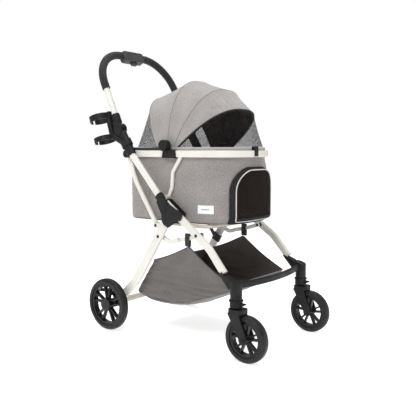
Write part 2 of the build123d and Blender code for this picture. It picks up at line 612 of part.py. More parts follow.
# Lower sleeves: black shells on the heads of the push tubes, each with a drum half and a lug.
with BuildPart() as lower_sleeves:
    sleeve_foot = along(PUSH_KNEE, sleeve_angle, -10)
    sleeve_plane = Plane(
        origin=(sleeve_foot[0], PUSH_MIDDLE_Y, sleeve_foot[1]), x_dir=(0, 1, 0),
        z_dir=(cos(radians(sleeve_angle)), 0, sin(radians(sleeve_angle))))
    with BuildSketch(sleeve_plane) as shell:
        SlotOverall(SLEEVE_WIDTH, SLEEVE_DEPTH, rotation=90)
    extrude(shell.sketch, amount=hypot(DRUM[0] - sleeve_foot[0], DRUM[1] - sleeve_foot[1]) - 15)
    with BuildSketch() as lug:
        with BuildLine():
            Line(STRUT_TOP, along(PUSH_KNEE, sleeve_angle, 6))
        trace(line_width=26)
        with Locations(STRUT_TOP):
            Circle(14)
    plate(lug.sketch, STRUT_Y + STRUT_DEPTH + SIDE_CLEARANCE, PUSH_TUBE_Y + 8 - STRUT_Y - STRUT_DEPTH)
    pin(DRUM, DRUM_RADIUS + SIDE_CLEARANCE, DRUM_SPLIT_Y, DRUM_SPLIT_Y + 30, mode=Mode.SUBTRACT)
    pin(DRUM, DRUM_RADIUS, DRUM_SPLIT_Y - DRUM_DEPTH, DRUM_SPLIT_Y)
    pin(STRUT_TOP, PIVOT_RADIUS, STRUT_Y - 1, STRUT_Y + STRUT_DEPTH + 2)
    rivet_head(STRUT_TOP, STRUT_Y - 1, outward=-1)
    with BuildSketch(Plane(
            origin=(PUSH_KNEE[0], PUSH_MIDDLE_Y, PUSH_KNEE[1]), x_dir=(0, 1, 0),
            z_dir=(cos(radians(push_angle)), 0, sin(radians(push_angle)))).offset(-30)) as seat:
        SlotOverall(PUSH_TUBE_WIDTH, PUSH_TUBE_DEPTH, rotation=90)
    extrude(seat.sketch, amount=34.05, mode=Mode.SUBTRACT)
    pin(DRUM, HINGE_RADIUS, DRUM_SPLIT_Y, DRUM_SPLIT_Y + DRUM_DEPTH - 2)
    mirror(about=Plane.XZ)
write(lower_sleeves, "lower_sleeves")

# Struts: curved flat-oval bars from the sleeves' lugs down to the tabs on the rear legs.
with BuildPart() as struts:
    stations = [(p[0], STRUT_Y + STRUT_DEPTH / 2, p[1]) for p in (STRUT_TOP, (-187, 562), STRUT_FOOT)]
    with BuildLine(mode=Mode.PRIVATE) as strut_line:
        FilletPolyline(*stations, radius=250)
    flat_tube(strut_line.wire(), STRUT_WIDTH, STRUT_DEPTH, wall=1.4)
    for end in (STRUT_TOP, STRUT_FOOT):
        pin(end, STRUT_WIDTH / 2, STRUT_Y, STRUT_Y + STRUT_DEPTH)
    pin(STRUT_TOP, PIVOT_RADIUS + RUNNING_CLEARANCE, STRUT_Y - 1, STRUT_Y + STRUT_DEPTH + 1,
        mode=Mode.SUBTRACT)
    pin(STRUT_FOOT, PIVOT_RADIUS - 1 + STRUT_FOOT_PLAY, STRUT_Y - 1, STRUT_Y + STRUT_DEPTH + 1,
        mode=Mode.SUBTRACT)
    mirror(about=Plane.XZ)
write(struts, "struts")

# Rail: a flat bar bent round the front of the cabin, on spacers at its rear ends.
RAIL_Z = RAIL_TOP - RAIL_HEIGHT / 2
with BuildPart() as rail:
    with BuildSketch(Plane.XY.offset(RAIL_TOP - RAIL_HEIGHT)) as rail_plan:
        with BuildLine():
            rail_mid = RAIL_HALF_WIDTH - RAIL_DEPTH / 2
            FilletPolyline(
                (RAIL_REAR_X, rail_mid), (RAIL_FRONT_X - RAIL_DEPTH / 2, rail_mid),
                (RAIL_FRONT_X - RAIL_DEPTH / 2, -rail_mid), (RAIL_REAR_X, -rail_mid),
                radius=RAIL_CORNER - RAIL_DEPTH / 2)
        trace(line_width=RAIL_DEPTH)
    extrude(rail_plan.sketch, amount=RAIL_HEIGHT)
    fillet(edges().filter_by(Plane.XY), radius=3)
    for spacer_side in (1, -1):
        near_face = spacer_side * (RAIL_HALF_WIDTH - 1)
        far_face = spacer_side * (PUSH_MIDDLE_Y - SLEEVE_DEPTH / 2)
        pin((RAIL_REAR_X + 7, RAIL_Z), 5, min(near_face, far_face), max(near_face, far_face))
write(rail, "rail")

# Rail brackets: saddles clamped on the rail, carrying the knobs that the canopy turns on.
KNOB_RADIUS = 19
KNOB_Y = (176, 198)
SADDLE_LAP = 0.8
with BuildPart() as rail_brackets:
    with BuildSketch() as saddle:
        with BuildLine():
            Polyline(
                (BRACKET_X[0], RAIL_TOP - RAIL_HEIGHT - 3), (BRACKET_X[1], RAIL_TOP - RAIL_HEIGHT - 3),
                (BRACKET_X[1] - 4, RAIL_TOP + 3), (BRACKET_X[0] + 7, RAIL_TOP + 3), close=True)
        make_face()
        fillet(vertices(), radius=4)
    plate(saddle.sketch, RAIL_HALF_WIDTH - RAIL_DEPTH - SADDLE_LAP, RAIL_DEPTH + 6)
    with BuildSketch() as neck_outline:
        with BuildLine():
            Line((CANOPY_PIVOT[0], RAIL_TOP - 3), CANOPY_PIVOT)
        trace(line_width=22)
    plate(neck_outline.sketch, KNOB_Y[0] - 4, 12)
    pin(CANOPY_PIVOT, KNOB_RADIUS, *KNOB_Y)
    pin(CANOPY_PIVOT, AXLE_RADIUS, EYE_FIRST_Y - 1, KNOB_Y[1])
    with BuildSketch(Plane.YZ.offset(BRACKET_X[0] - 5)) as rail_section:
        with Locations((RAIL_HALF_WIDTH - RAIL_DEPTH / 2, RAIL_Z)):
            RectangleRounded(RAIL_DEPTH, RAIL_HEIGHT, 3)
    extrude(rail_section.sketch, amount=BRACKET_X[1] - BRACKET_X[0] + 10, mode=Mode.SUBTRACT)
    mirror(about=Plane.XZ)
write(rail_brackets, "rail_brackets")

# Side braces: cranked flat bars from the rail down to the hubs.
BRACE_DEPTH = 6
BRACE_FOOT = (-31, 505)
with BuildPart() as side_braces:
    with BuildSketch() as brace_outline:
        with BuildLine():
            FilletPolyline((24, 640), (-12, 588), (-16, 535), BRACE_FOOT, radius=18)
        trace(line_width=BRACE_WIDTH)
        with Locations(BRACE_FOOT):
            Circle(BRACE_WIDTH / 2)
        with Locations((20, RAIL_TOP - RAIL_HEIGHT + 15)):
            Rectangle(60, 30, mode=Mode.SUBTRACT)
    plate(brace_outline.sketch, BRACE_Y, BRACE_DEPTH)
    pin(BRACE_FOOT, BRACE_WIDTH / 2, BRACE_Y, PUSH_TUBE_Y - 3)
    mirror(about=Plane.XZ)
write(side_braces, "side_braces")

# Base support: a bent tube under the cabin's floor, hung from the braces' feet by flat hangers.
SUPPORT_RADIUS = 6
SUPPORT_Y = 158
SUPPORT_X = (-35, 132)
HANGER_DEPTH = 2.6
with BuildPart() as base_support:
    support_z = CABIN_BOTTOM - SUPPORT_RADIUS - 1
    with BuildLine(mode=Mode.PRIVATE) as support_line:
        FilletPolyline(
            (SUPPORT_X[0], SUPPORT_Y, support_z), (SUPPORT_X[1], SUPPORT_Y, support_z),
            (SUPPORT_X[1], -SUPPORT_Y, support_z), (SUPPORT_X[0], -SUPPORT_Y, support_z), radius=40)
    with BuildSketch(Plane(origin=(SUPPORT_X[0], SUPPORT_Y, support_z), z_dir=(1, 0, 0))) as ring:
        Circle(SUPPORT_RADIUS)
        Circle(SUPPORT_RADIUS - WALL, mode=Mode.SUBTRACT)
    sweep(ring.sketch, path=support_line.wire())
    hanger_y = BRACE_Y - 0.4 - HANGER_DEPTH
    boss = (SUPPORT_X[0] + 8, support_z)
    with BuildSketch() as hanger:
        with BuildLine():
            Line(boss, BRACE_FOOT)
        trace(line_width=12)
        with Locations(BRACE_FOOT, boss):
            Circle(6)
    for hanger_side in (1, -1):
        outer_face = max(hanger_side * hanger_y, hanger_side * (hanger_y + HANGER_DEPTH))
        extrude(side_plane(outer_face) * hanger.sketch, amount=HANGER_DEPTH)
        pin(boss, 4, *sorted((hanger_side * (SUPPORT_Y + 5), hanger_side * (hanger_y + 1))))
        pin(BRACE_FOOT, 4, *sorted((hanger_side * (hanger_y + 1), hanger_side * BRACE_Y)))
write(base_support, "base_support")

# ---------------------------------------------------------------- handle
handle_plane = Plane(
    origin=(DRUM[0], 0, DRUM[1]), x_dir=(0, 1, 0),
    z_dir=(cos(radians(HANDLE_LEAN)), 0, sin(radians(HANDLE_LEAN))))


def handle_path(start):
    """Arched line of the handle, from a distance above the drums on one side to the other."""
    with BuildLine(handle_plane, mode=Mode.PRIVATE) as arch:
        FilletPolyline(
            (HANDLE_Y, start), (HANDLE_Y, HANDLE_TOP), (-HANDLE_Y, HANDLE_TOP), (-HANDLE_Y, start),
            radius=HANDLE_CORNER)
    return arch.wire()


def handle_section(path, outer, inner):
    """Round ring at the start of the handle's path."""
    with BuildSketch(Plane(origin=path @ 0, x_dir=(0, 1, 0), z_dir=path % 0)) as ring:
        Circle(outer)
        Circle(inner, mode=Mode.SUBTRACT)
    return ring.sketch


# Handle tube: one bent tube from socket to socket.
SOCKET_START = DRUM_RADIUS + 2
with BuildPart() as handle_tube:
    tube_path = handle_path(SOCKET_START + 4)
    sweep(handle_section(tube_path, HANDLE_TUBE_RADIUS, HANDLE_TUBE_RADIUS - WALL), path=tube_path)
write(handle_tube, "handle_tube")

# Handle sockets: black sockets on the tube's ends, each with the outer half of its drum.
with BuildPart() as handle_sockets:
    socket_up = Vector(-sin(radians(HANDLE_LEAN)), 0, cos(radians(HANDLE_LEAN)))
    base = Vector(DRUM[0], HANDLE_Y, DRUM[1])
    with BuildSketch(Plane(origin=base + socket_up * SOCKET_START, z_dir=socket_up)) as socket:
        Circle(HANDLE_TUBE_RADIUS + 4)
    extrude(socket.sketch, amount=SOCKET_LENGTH - SOCKET_START)
    with BuildSketch() as drum_web:
        with BuildLine():
            Line(DRUM, along(DRUM, handle_angle, SOCKET_START + 8))
        trace(line_width=26)
        with Locations(DRUM):
            Circle(DRUM_RADIUS)
    plate(drum_web.sketch, DRUM_SPLIT_Y + SIDE_CLEARANCE, DRUM_DEPTH)
    with BuildSketch(Plane(origin=base + socket_up * (SOCKET_START + 4), z_dir=socket_up)) as seat:
        Circle(HANDLE_TUBE_RADIUS)
    extrude(seat.sketch, amount=SOCKET_LENGTH, mode=Mode.SUBTRACT)
    pin(DRUM, HINGE_RADIUS + RUNNING_CLEARANCE, DRUM_SPLIT_Y - 1, DRUM_SPLIT_Y + DRUM_DEPTH - 1.5,
        mode=Mode.SUBTRACT)
    mirror(about=Plane.XZ)
write(handle_sockets, "handle_sockets")

# Grip: foam sleeve over the handle's arch, in two lengths either side of the release housing.
RELEASE_HALF = 54
RELEASE_RADIUS = 17
with BuildPart() as grip:
    grip_path = handle_path(GRIP_START)
    sweep(handle_section(grip_path, GRIP_RADIUS, HANDLE_TUBE_RADIUS), path=grip_path)
    with BuildSketch(handle_plane) as middle:
        with Locations((0, HANDLE_TOP)):
            Rectangle(2 * RELEASE_HALF, 80)
    extrude(middle.sketch, amount=40, both=True, mode=Mode.SUBTRACT)
write(grip, "grip")

# Release housing: moulded block round the middle of the handle, with the trigger's pocket below.
TRIGGER_TRAVEL = 5
HOUSING_DROP = 24
POCKET_CEILING = HANDLE_TUBE_RADIUS + 1
with BuildPart() as release_housing:
    with BuildSketch(handle_plane) as housing_face:
        with Locations((0, HANDLE_TOP + (RELEASE_RADIUS - HOUSING_DROP) / 2)):
            RectangleRounded(2 * RELEASE_HALF - 0.4, RELEASE_RADIUS + HOUSING_DROP, 9)
    extrude(housing_face.sketch, amount=RELEASE_RADIUS - 1, both=True)
    fillet(edges().group_by(Axis((0, 0, 0), tuple(handle_plane.z_dir)))[-1], radius=5)
    fillet(edges().group_by(Axis((0, 0, 0), tuple(handle_plane.z_dir)))[0], radius=5)
    bore_plane = Plane(origin=handle_plane.from_local_coords((0, HANDLE_TOP, 0)), z_dir=(0, 1, 0))
    with BuildSketch(bore_plane) as tube_bore:
        Circle(HANDLE_TUBE_RADIUS)
    extrude(tube_bore.sketch, amount=RELEASE_HALF + 5, both=True, mode=Mode.SUBTRACT)
    with BuildSketch(handle_plane) as pocket:
        with Locations((0, HANDLE_TOP - POCKET_CEILING - 10)):
            Rectangle(28, 20)
    extrude(pocket.sketch, amount=8, both=True, mode=Mode.SUBTRACT)
write(release_housing, "release_housing")

# Release trigger: slides up into the housing's pocket when squeezed.
with BuildPart() as release_trigger:
    with BuildSketch(handle_plane) as trigger_face:
        trigger_top = HANDLE_TOP - POCKET_CEILING - TRIGGER_TRAVEL - 1
        with Locations((0, trigger_top - 9)):
            RectangleRounded(26, 18, 3)
    extrude(trigger_face.sketch, amount=7, both=True)
    fillet(edges().group_by(Axis((0, 0, 0), tuple(handle_plane.y_dir)))[0], radius=2)
write(release_trigger, "release_trigger")

# Cup holder: two open rings on an arm, clamped round the right sleeve.
cup_angle = direction(CUP_LOWER, CUP_UPPER)
cup_axis = (cos(radians(cup_angle)), 0, sin(radians(cup_angle)))
CLAMP_FROM_KNEE = 26
CLAMP_LENGTH = 24
CLAMP_WALL = 4
with BuildPart() as cup_holder:
    for centre, band, gap in ((CUP_UPPER, CUP_BAND + 2, 12), (CUP_LOWER, CUP_BAND - 2, 9)):
        ring_plane = Plane((centre[0], CUP_Y, centre[1]), x_dir=(0, 1, 0), z_dir=cup_axis)
        with BuildSketch(ring_plane) as ring:
            Circle(CUP_OUTER_RADIUS)
            Circle(CUP_OUTER_RADIUS - CUP_WALL, mode=Mode.SUBTRACT)
            with Locations((0, CUP_OUTER_RADIUS)):
                Rectangle(gap, CUP_OUTER_RADIUS, mode=Mode.SUBTRACT)
        extrude(ring.sketch, amount=band / 2, both=True)
    arm_offset = CUP_OUTER_RADIUS + 5
    arm_top = along(along(CUP_UPPER, cup_angle, CUP_BAND / 2), cup_angle - 90, arm_offset)
    arm_foot = along(along(CUP_LOWER, cup_angle, -CUP_BAND / 2), cup_angle - 90, arm_offset)
    clamp_middle = along(PUSH_KNEE, sleeve_angle, CLAMP_FROM_KNEE + CLAMP_LENGTH / 2)
    with BuildSketch(side_plane(CUP_Y + 8)) as arm:
        with BuildLine():
            Line(arm_top, arm_foot)
        trace(line_width=19)
        with BuildLine():
            Line(along(arm_foot, cup_angle, 12), clamp_middle)
        trace(line_width=18)
    extrude(arm.sketch, amount=16)
    clamp_start = along(PUSH_KNEE, sleeve_angle, CLAMP_FROM_KNEE)
    clamp_plane = Plane(
        origin=(clamp_start[0], -PUSH_MIDDLE_Y, clamp_start[1]), x_dir=(0, 1, 0),
        z_dir=(cos(radians(sleeve_angle)), 0, sin(radians(sleeve_angle))))
    with BuildSketch(clamp_plane) as clamp:
        SlotOverall(SLEEVE_WIDTH + 2 * CLAMP_WALL, SLEEVE_DEPTH + 2 * CLAMP_WALL, rotation=90)
    extrude(clamp.sketch, amount=CLAMP_LENGTH)
    with BuildSketch(clamp_plane.offset(-30)) as clamp_hole:
        SlotOverall(SLEEVE_WIDTH, SLEEVE_DEPTH, rotation=90)
    extrude(clamp_hole.sketch, amount=CLAMP_LENGTH + 80, mode=Mode.SUBTRACT)
write(cup_holder, "cup_holder")

# ---------------------------------------------------------------- cabin
CABIN_HALF_WIDTH = RAIL_HALF_WIDTH - RAIL_DEPTH - CABIN_GAP
CABIN_FRONT_X = RAIL_FRONT_X - RAIL_DEPTH - CABIN_GAP
CABIN_CORNER = RAIL_CORNER - RAIL_DEPTH - CABIN_GAP
CABIN_REAR_CORNER = 45


def cabin_plan(offset_out):
    """Closed plan outline of the cabin, grown outwards by the given amount."""
    half = CABIN_HALF_WIDTH + offset_out
    front_x = CABIN_FRONT_X + offset_out
    rear_x = CABIN_REAR_X - offset_out
    with BuildLine(mode=Mode.PRIVATE) as outline:
        FilletPolyline((0, half), (front_x, half), (front_x, -half), (0, -half),
                       radius=CABIN_CORNER + offset_out)
        FilletPolyline((0, -half), (rear_x, -half), (rear_x, half), (0, half),
                       radius=CABIN_REAR_CORNER + offset_out)
    return outline.edges()


def cabin_ring(low_z, high_z, outer, inner):
    """Add an upright band that follows the cabin's plan, between two offsets."""
    with BuildSketch(Plane.XY.offset(low_z)) as band:
        make_face(cabin_plan(outer))
        make_face(cabin_plan(inner), mode=Mode.SUBTRACT)
    extrude(band.sketch, amount=high_z - low_z)


# Door arch: the doorway through the cabin's front, and the larger outline of the door over it.
DOOR_HALF_WIDTH = 108
DOOR_SILL = 424
DOOR_HEAD = 598
DOOR_LAP = 8
DOOR_CORNER = 72


def door_prism(grow, mode):
    """Arched prism along +X through the cabin's front."""
    half = DOOR_HALF_WIDTH + grow
    sill = DOOR_SILL - grow
    head = DOOR_HEAD + grow
    with BuildSketch(Plane.YZ.offset(20)) as arch:
        with BuildLine():
            FilletPolyline((-half, sill), (-half, head), (half, head), (half, sill),
                           radius=DOOR_CORNER + grow)
            Line((half, sill), (-half, sill))
        make_face()
    extrude(arch.sketch, amount=260, mode=mode)


# Cabin shell: padded fabric tub, open above, with the doorway in front.
with BuildPart() as cabin_shell:
    with BuildSketch(Plane.XY.offset(CABIN_BOTTOM)) as floor_plan:
        make_face(cabin_plan(0))
    extrude(floor_plan.sketch, amount=CABIN_WALL)
    cabin_ring(CABIN_BOTTOM, CABIN_TOP, 0, -CABIN_WALL)
    door_prism(0, Mode.SUBTRACT)
write(cabin_shell, "cabin_shell")

# Cabin mat: a thick cushion that fills the floor.
MAT_THICKNESS = 26
with BuildPart() as cabin_mat:
    with BuildSketch(Plane.XY.offset(CABIN_BOTTOM + CABIN_WALL)) as mat_plan:
        make_face(cabin_plan(-CABIN_WALL - 2))
    extrude(mat_plan.sketch, amount=MAT_THICKNESS)
    fillet(edges().group_by(Axis.Z)[-1], radius=9)
write(cabin_mat, "cabin_mat")

# Rim band: the binding that joins the cabin's top edge to the canopy, pierced by the knobs' pins.
BAND_TOP = 673
with BuildPart() as rim_band:
    cabin_ring(CABIN_TOP, BAND_TOP, 1.5, -CABIN_WALL)
    for pin_side in (1, -1):
        reach = sorted((pin_side * (CABIN_HALF_WIDTH - 10), pin_side * (CABIN_HALF_WIDTH + 10)))
        pin(CANOPY_PIVOT, HINGE_RADIUS + 0.5, *reach, mode=Mode.SUBTRACT)
write(rim_band, "rim_band")

# Front clip: a small buckle that holds the rim band to the rail in the middle of the front.
with BuildPart() as front_clip:
    with BuildSketch(Plane.XZ.offset(-9)) as clip_outline:
        with BuildLine():
            Polyline(
                (RAIL_FRONT_X, RAIL_TOP - 20), (RAIL_FRONT_X + 4, RAIL_TOP - 20),
                (RAIL_FRONT_X + 4, BAND_TOP + 3), (CABIN_FRONT_X + 1.5, BAND_TOP + 3),
                (CABIN_FRONT_X + 1.5, RAIL_TOP), (RAIL_FRONT_X, RAIL_TOP), close=True)
        make_face()
    extrude(clip_outline.sketch, amount=18)
write(front_clip, "front_clip")

# Front door: a domed fabric and mesh flap over the doorway, hinged along its foot.
DOOR_THICKNESS = 16
with BuildPart() as front_door:
    cabin_ring(DOOR_SILL - DOOR_LAP, DOOR_HEAD + DOOR_LAP, SIDE_CLEARANCE + DOOR_THICKNESS,
               SIDE_CLEARANCE)
    door_prism(DOOR_LAP - 0.5, Mode.INTERSECT)
write(front_door, "front_door")

# ---------------------------------------------------------------- canopy
BOW_INSET = CANOPY_CLOTH + 1.8


def bow_plane(base_x, angle, base_z=CANOPY_BASE):
    """Plane of a bow: local x across the stroller, local y up along the bow's lean."""
    lean = radians(angle)
    return Plane((base_x, 0, base_z), x_dir=(0, 1, 0), z_dir=(sin(lean), 0, -cos(lean)))


def bow_points(half_width, height, roundness=CANOPY_ROUNDNESS, count=16):
    """Points of a bow's superellipse, from the left base over the top to the right base."""
    points = []
    for step in range(count + 1):
        turn = pi * step / count
        across = abs(cos(turn)) ** (2 / roundness) * half_width * (1 if step < count / 2 else -1)
        points.append((across, height * max(sin(turn), 0) ** (2 / roundness)))
    return points


def arch_section(plane, half_width, height, thickness, roundness=CANOPY_ROUNDNESS):
    """Thin arched band in one plane."""
    with BuildSketch(plane) as band:
        with BuildLine():
            outer = Spline(*bow_points(half_width, height, roundness))
            inner = Spline(*bow_points(half_width - thickness, height - thickness, roundness))
            Line(outer @ 0, inner @ 0)
            Line(outer @ 1, inner @ 1)
        make_face()
    return band.sketch


def canopy_panel(first, second):
    """Ruled cloth between two arches, each given as base x, base z, angle, height, roundness."""
    sections = []
    for base_x, base_z, angle, height, roundness in (first, second):
        plane = bow_plane(base_x, angle, base_z)
        sections.append(arch_section(plane, CANOPY_HALF_WIDTH, height, CANOPY_CLOTH, roundness))
    with BuildPart() as panel:
        loft(sections, ruled=True)
        pin(CANOPY_PIVOT, HINGE_RADIUS, -CABIN_HALF_WIDTH, CABIN_HALF_WIDTH, mode=Mode.SUBTRACT)
    return panel


for name, (base_x, angle, height) in BOWS.items():
    with BuildPart() as bow:
        plane = bow_plane(base_x, angle)
        strip = arch_section(plane, CANOPY_HALF_WIDTH - BOW_INSET, height - BOW_INSET, BOW_THICKNESS)
        extrude(strip, amount=BOW_WIDTH / 2, both=True)
        eye_y = EYE_FIRST_Y + EYE_PITCH * EYE_ORDER.index(name)
        for eye_side in (1, -1):
            low_y, high_y = sorted((eye_side * eye_y, eye_side * (eye_y + EYE_DEPTH)))
            with BuildSketch(side_plane(high_y)) as eye:
                with BuildLine():
                    Line(CANOPY_PIVOT, (base_x, CANOPY_BASE))
                trace(line_width=6)
                with Locations(CANOPY_PIVOT):
                    Circle(EYE_RADIUS)
            extrude(eye.sketch, amount=EYE_DEPTH)
            foot_ends = sorted((eye_side * eye_y, eye_side * (CANOPY_HALF_WIDTH - BOW_INSET)))
            pin((base_x, CANOPY_BASE), BOW_WIDTH / 2, *foot_ends)
            pin(CANOPY_PIVOT, AXLE_RADIUS + RUNNING_CLEARANCE, low_y - 1, high_y + 1,
                mode=Mode.SUBTRACT)
    write(bow, name)

arches = {
    name: (base_x, CANOPY_BASE, angle, height, CANOPY_ROUNDNESS)
    for name, (base_x, angle, height) in BOWS.items()}
MESH_BASE = BAND_TOP + 0.5
front_x, front_angle, front_height = BOWS["bow_front"]
rear_x, rear_angle, rear_height = BOWS["bow_rear"]
front_start = (front_x + 12, MESH_BASE, front_angle, front_height - 4, CANOPY_ROUNDNESS)
front_rim = (front_x + 18, MESH_BASE, 0.5, CABIN_FRONT_X - front_x - 20, 2.7)
rear_start = (rear_x - 5, MESH_BASE + 3, rear_angle, rear_height - 7, CANOPY_ROUNDNESS)
rear_rim = (rear_x - 12, MESH_BASE, 179.5, rear_x - CABIN_REAR_X - 14, 3.6)
panels = {
    "canopy_rear": (arches["bow_mid_rear"], arches["bow_rear"]),
    "canopy_middle": (arches["bow_mid_front"], arches["bow_mid_rear"]),
    "canopy_front": (arches["bow_front"], arches["bow_mid_front"]),
    "mesh_front": (front_rim, front_start),
    "mesh_rear": (rear_start, rear_rim),
}
for name, (first, second) in panels.items():
    write(canopy_panel(first, second), name)

# ---------------------------------------------------------------- basket
BASKET_HALF_WIDTH = 164
BASKET_WALL = 2.5
BASKET_REAR_LOW = (-190, 140)
BASKET_REAR_HIGH = (-112, 272)
BASKET_APEX = (51, 336)
BASKET_FRONT_HIGH = (228, 226)
BASKET_FRONT_LOW = (218, 196)
BASKET_BELLY = ((90, 143), (-56, 105))


def basket_profile(inset, lift):
    """Side outline of the basket; lift raises the open top edge."""
    low_front = (BASKET_FRONT_LOW[0] - inset, BASKET_FRONT_LOW[1] + inset)
    low_rear = (BASKET_REAR_LOW[0] + inset, BASKET_REAR_LOW[1] + inset)
    belly = [(p[0], p[1] + inset) for p in BASKET_BELLY]
    with BuildLine(mode=Mode.PRIVATE) as outline:
        Polyline(
            low_rear, (BASKET_REAR_HIGH[0] + inset, BASKET_REAR_HIGH[1] + lift),
            (BASKET_APEX[0], BASKET_APEX[1] + lift),
            (BASKET_FRONT_HIGH[0] - inset, BASKET_FRONT_HIGH[1] + lift), low_front)
        Spline(low_front, *belly, low_rear)
    return outline.edges()


# Basket: a fabric sling between the legs, high at the side straps and open above.
with BuildPart() as basket:
    with BuildSketch(side_plane(BASKET_HALF_WIDTH)) as body:
        make_face(basket_profile(0, 0))
    extrude(body.sketch, amount=2 * BASKET_HALF_WIDTH)
    with BuildSketch(side_plane(BASKET_HALF_WIDTH - BASKET_WALL)) as hollow:
        make_face(basket_profile(BASKET_WALL, 40))
    extrude(hollow.sketch, amount=2 * (BASKET_HALF_WIDTH - BASKET_WALL), mode=Mode.SUBTRACT)
write(basket, "basket")

# Basket straps: webbing loops round the front links, sewn to the peaks of the basket's sides.
STRAP_WIDTH = 20
LOOP_MIDDLE_Z = 359
with BuildPart() as basket_straps:
    loop_depth = LINK_DEPTH + 0.8
    with BuildSketch(Plane.YZ.offset(BASKET_APEX[0] - STRAP_WIDTH / 2)) as loop_section:
        with Locations((LINK_FRONT_Y + LINK_DEPTH / 2, LOOP_MIDDLE_Z)):
            Rectangle(loop_depth + 2.4, 46)
            Rectangle(loop_depth, 43.6, mode=Mode.SUBTRACT)
    extrude(loop_section.sketch, amount=STRAP_WIDTH)
    with BuildSketch(side_plane(BASKET_HALF_WIDTH + 1.6)) as tail:
        with Locations((BASKET_APEX[0], LOOP_MIDDLE_Z - 32)):
            Rectangle(STRAP_WIDTH - 2, 20)
    extrude(tail.sketch, amount=1.4)
    mirror(about=Plane.XZ)
write(basket_straps, "basket_straps")

# Fold strap: a webbing band round the left rear leg, with the pull that starts the fold.
STRAP_THICKNESS = 1.2
with BuildPart() as fold_strap:
    band_start = along(LEG_PIVOT, leg_run, 112)
    band_plane = Plane(
        origin=(band_start[0], REAR_LEG_MIDDLE_Y, band_start[1]), x_dir=(0, 1, 0),
        z_dir=(cos(radians(leg_run)), 0, sin(radians(leg_run))))
    with BuildSketch(band_plane) as strap_band:
        SlotOverall(REAR_LEG_WIDTH + 2 * STRAP_THICKNESS, LEG_DEPTH + 2 * STRAP_THICKNESS, rotation=90)
        SlotOverall(REAR_LEG_WIDTH, LEG_DEPTH, rotation=90, mode=Mode.SUBTRACT)
    extrude(strap_band.sketch, amount=30)
write(fold_strap, "fold_strap")
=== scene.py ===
import math

import bmesh
import bpy
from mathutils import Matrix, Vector, noise


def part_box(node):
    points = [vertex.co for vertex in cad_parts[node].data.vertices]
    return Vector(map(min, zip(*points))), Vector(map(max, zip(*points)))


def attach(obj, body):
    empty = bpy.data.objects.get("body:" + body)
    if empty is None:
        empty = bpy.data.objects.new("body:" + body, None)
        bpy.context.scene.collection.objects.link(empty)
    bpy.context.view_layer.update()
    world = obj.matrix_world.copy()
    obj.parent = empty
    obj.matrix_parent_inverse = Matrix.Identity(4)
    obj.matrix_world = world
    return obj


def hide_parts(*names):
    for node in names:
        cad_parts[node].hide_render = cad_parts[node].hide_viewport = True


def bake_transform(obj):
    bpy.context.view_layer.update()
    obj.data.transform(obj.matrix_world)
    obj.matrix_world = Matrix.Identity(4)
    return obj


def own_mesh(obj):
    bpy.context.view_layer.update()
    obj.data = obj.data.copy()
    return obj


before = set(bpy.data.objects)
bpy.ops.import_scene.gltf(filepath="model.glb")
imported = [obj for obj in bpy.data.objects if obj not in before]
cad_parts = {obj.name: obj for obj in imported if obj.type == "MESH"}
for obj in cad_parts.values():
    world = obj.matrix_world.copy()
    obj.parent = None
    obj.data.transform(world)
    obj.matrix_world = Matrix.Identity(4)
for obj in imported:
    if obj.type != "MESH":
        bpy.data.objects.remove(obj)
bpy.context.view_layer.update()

bpy.ops.object.select_all(action="DESELECT")


# ---------------------------------------------------------------- painted frame tubes
# The legs, push tubes, struts, links, braces and rail are bent from flat-oval steel tube and
# powder coated in ivory, which leaves a faint orange peel and a little dust in the satin.
def new_finish(name, color, roughness):
    finish = bpy.data.materials.new(name)
    finish.use_nodes = True
    shader = finish.node_tree.nodes["Principled BSDF"]
    shader.inputs["Base Color"].default_value = (*color, 1)
    shader.inputs["Roughness"].default_value = roughness
    return finish, finish.node_tree.nodes, finish.node_tree.links, shader


def cloudy_color(nodes, links, shader, scale, stops, place="Object", detail=4):
    """Colour that drifts between the given ramp stops, in noise patches of the given scale."""
    where = nodes.new("ShaderNodeTexCoord")
    patches = nodes.new("ShaderNodeTexNoise")
    patches.inputs["Scale"].default_value = scale
    patches.inputs["Detail"].default_value = detail
    links.new(where.outputs[place], patches.inputs["Vector"])
    ramp = nodes.new("ShaderNodeValToRGB")
    ramp.color_ramp.elements[0].position = stops[0][0]
    ramp.color_ramp.elements[0].color = (*stops[0][1], 1)
    ramp.color_ramp.elements[1].position = stops[1][0]
    ramp.color_ramp.elements[1].color = (*stops[1][1], 1)
    links.new(patches.outputs["Fac"], ramp.inputs["Fac"])
    links.new(ramp.outputs["Color"], shader.inputs["Base Color"])
    return patches


def grain_bump(nodes, links, shader, scale, strength, depth, place="Object"):
    """Fine moulded or sprayed grain as a bump."""
    where = nodes.new("ShaderNodeTexCoord")
    grain = nodes.new("ShaderNodeTexNoise")
    grain.inputs["Scale"].default_value = scale
    grain.inputs["Detail"].default_value = 3
    bump = nodes.new("ShaderNodeBump")
    bump.inputs["Strength"].default_value = strength
    bump.inputs["Distance"].default_value = depth
    links.new(where.outputs[place], grain.inputs["Vector"])
    links.new(grain.outputs["Fac"], bump.inputs["Height"])
    links.new(bump.outputs["Normal"], shader.inputs["Normal"])
    return grain


def rubbed_roughness(nodes, links, shader, scale, smooth, rough):
    """Roughness that drifts between smooth and rough where hands and dust have been."""
    where = nodes.new("ShaderNodeTexCoord")
    rub = nodes.new("ShaderNodeTexNoise")
    rub.inputs["Scale"].default_value = scale
    rub.inputs["Detail"].default_value = 5
    spread = nodes.new("ShaderNodeMapRange")
    spread.inputs["From Min"].default_value = 0.3
    spread.inputs["From Max"].default_value = 0.7
    spread.inputs["To Min"].default_value = smooth
    spread.inputs["To Max"].default_value = rough
    links.new(where.outputs["Object"], rub.inputs["Vector"])
    links.new(rub.outputs["Fac"], spread.inputs["Value"])
    links.new(spread.outputs["Result"], shader.inputs["Roughness"])


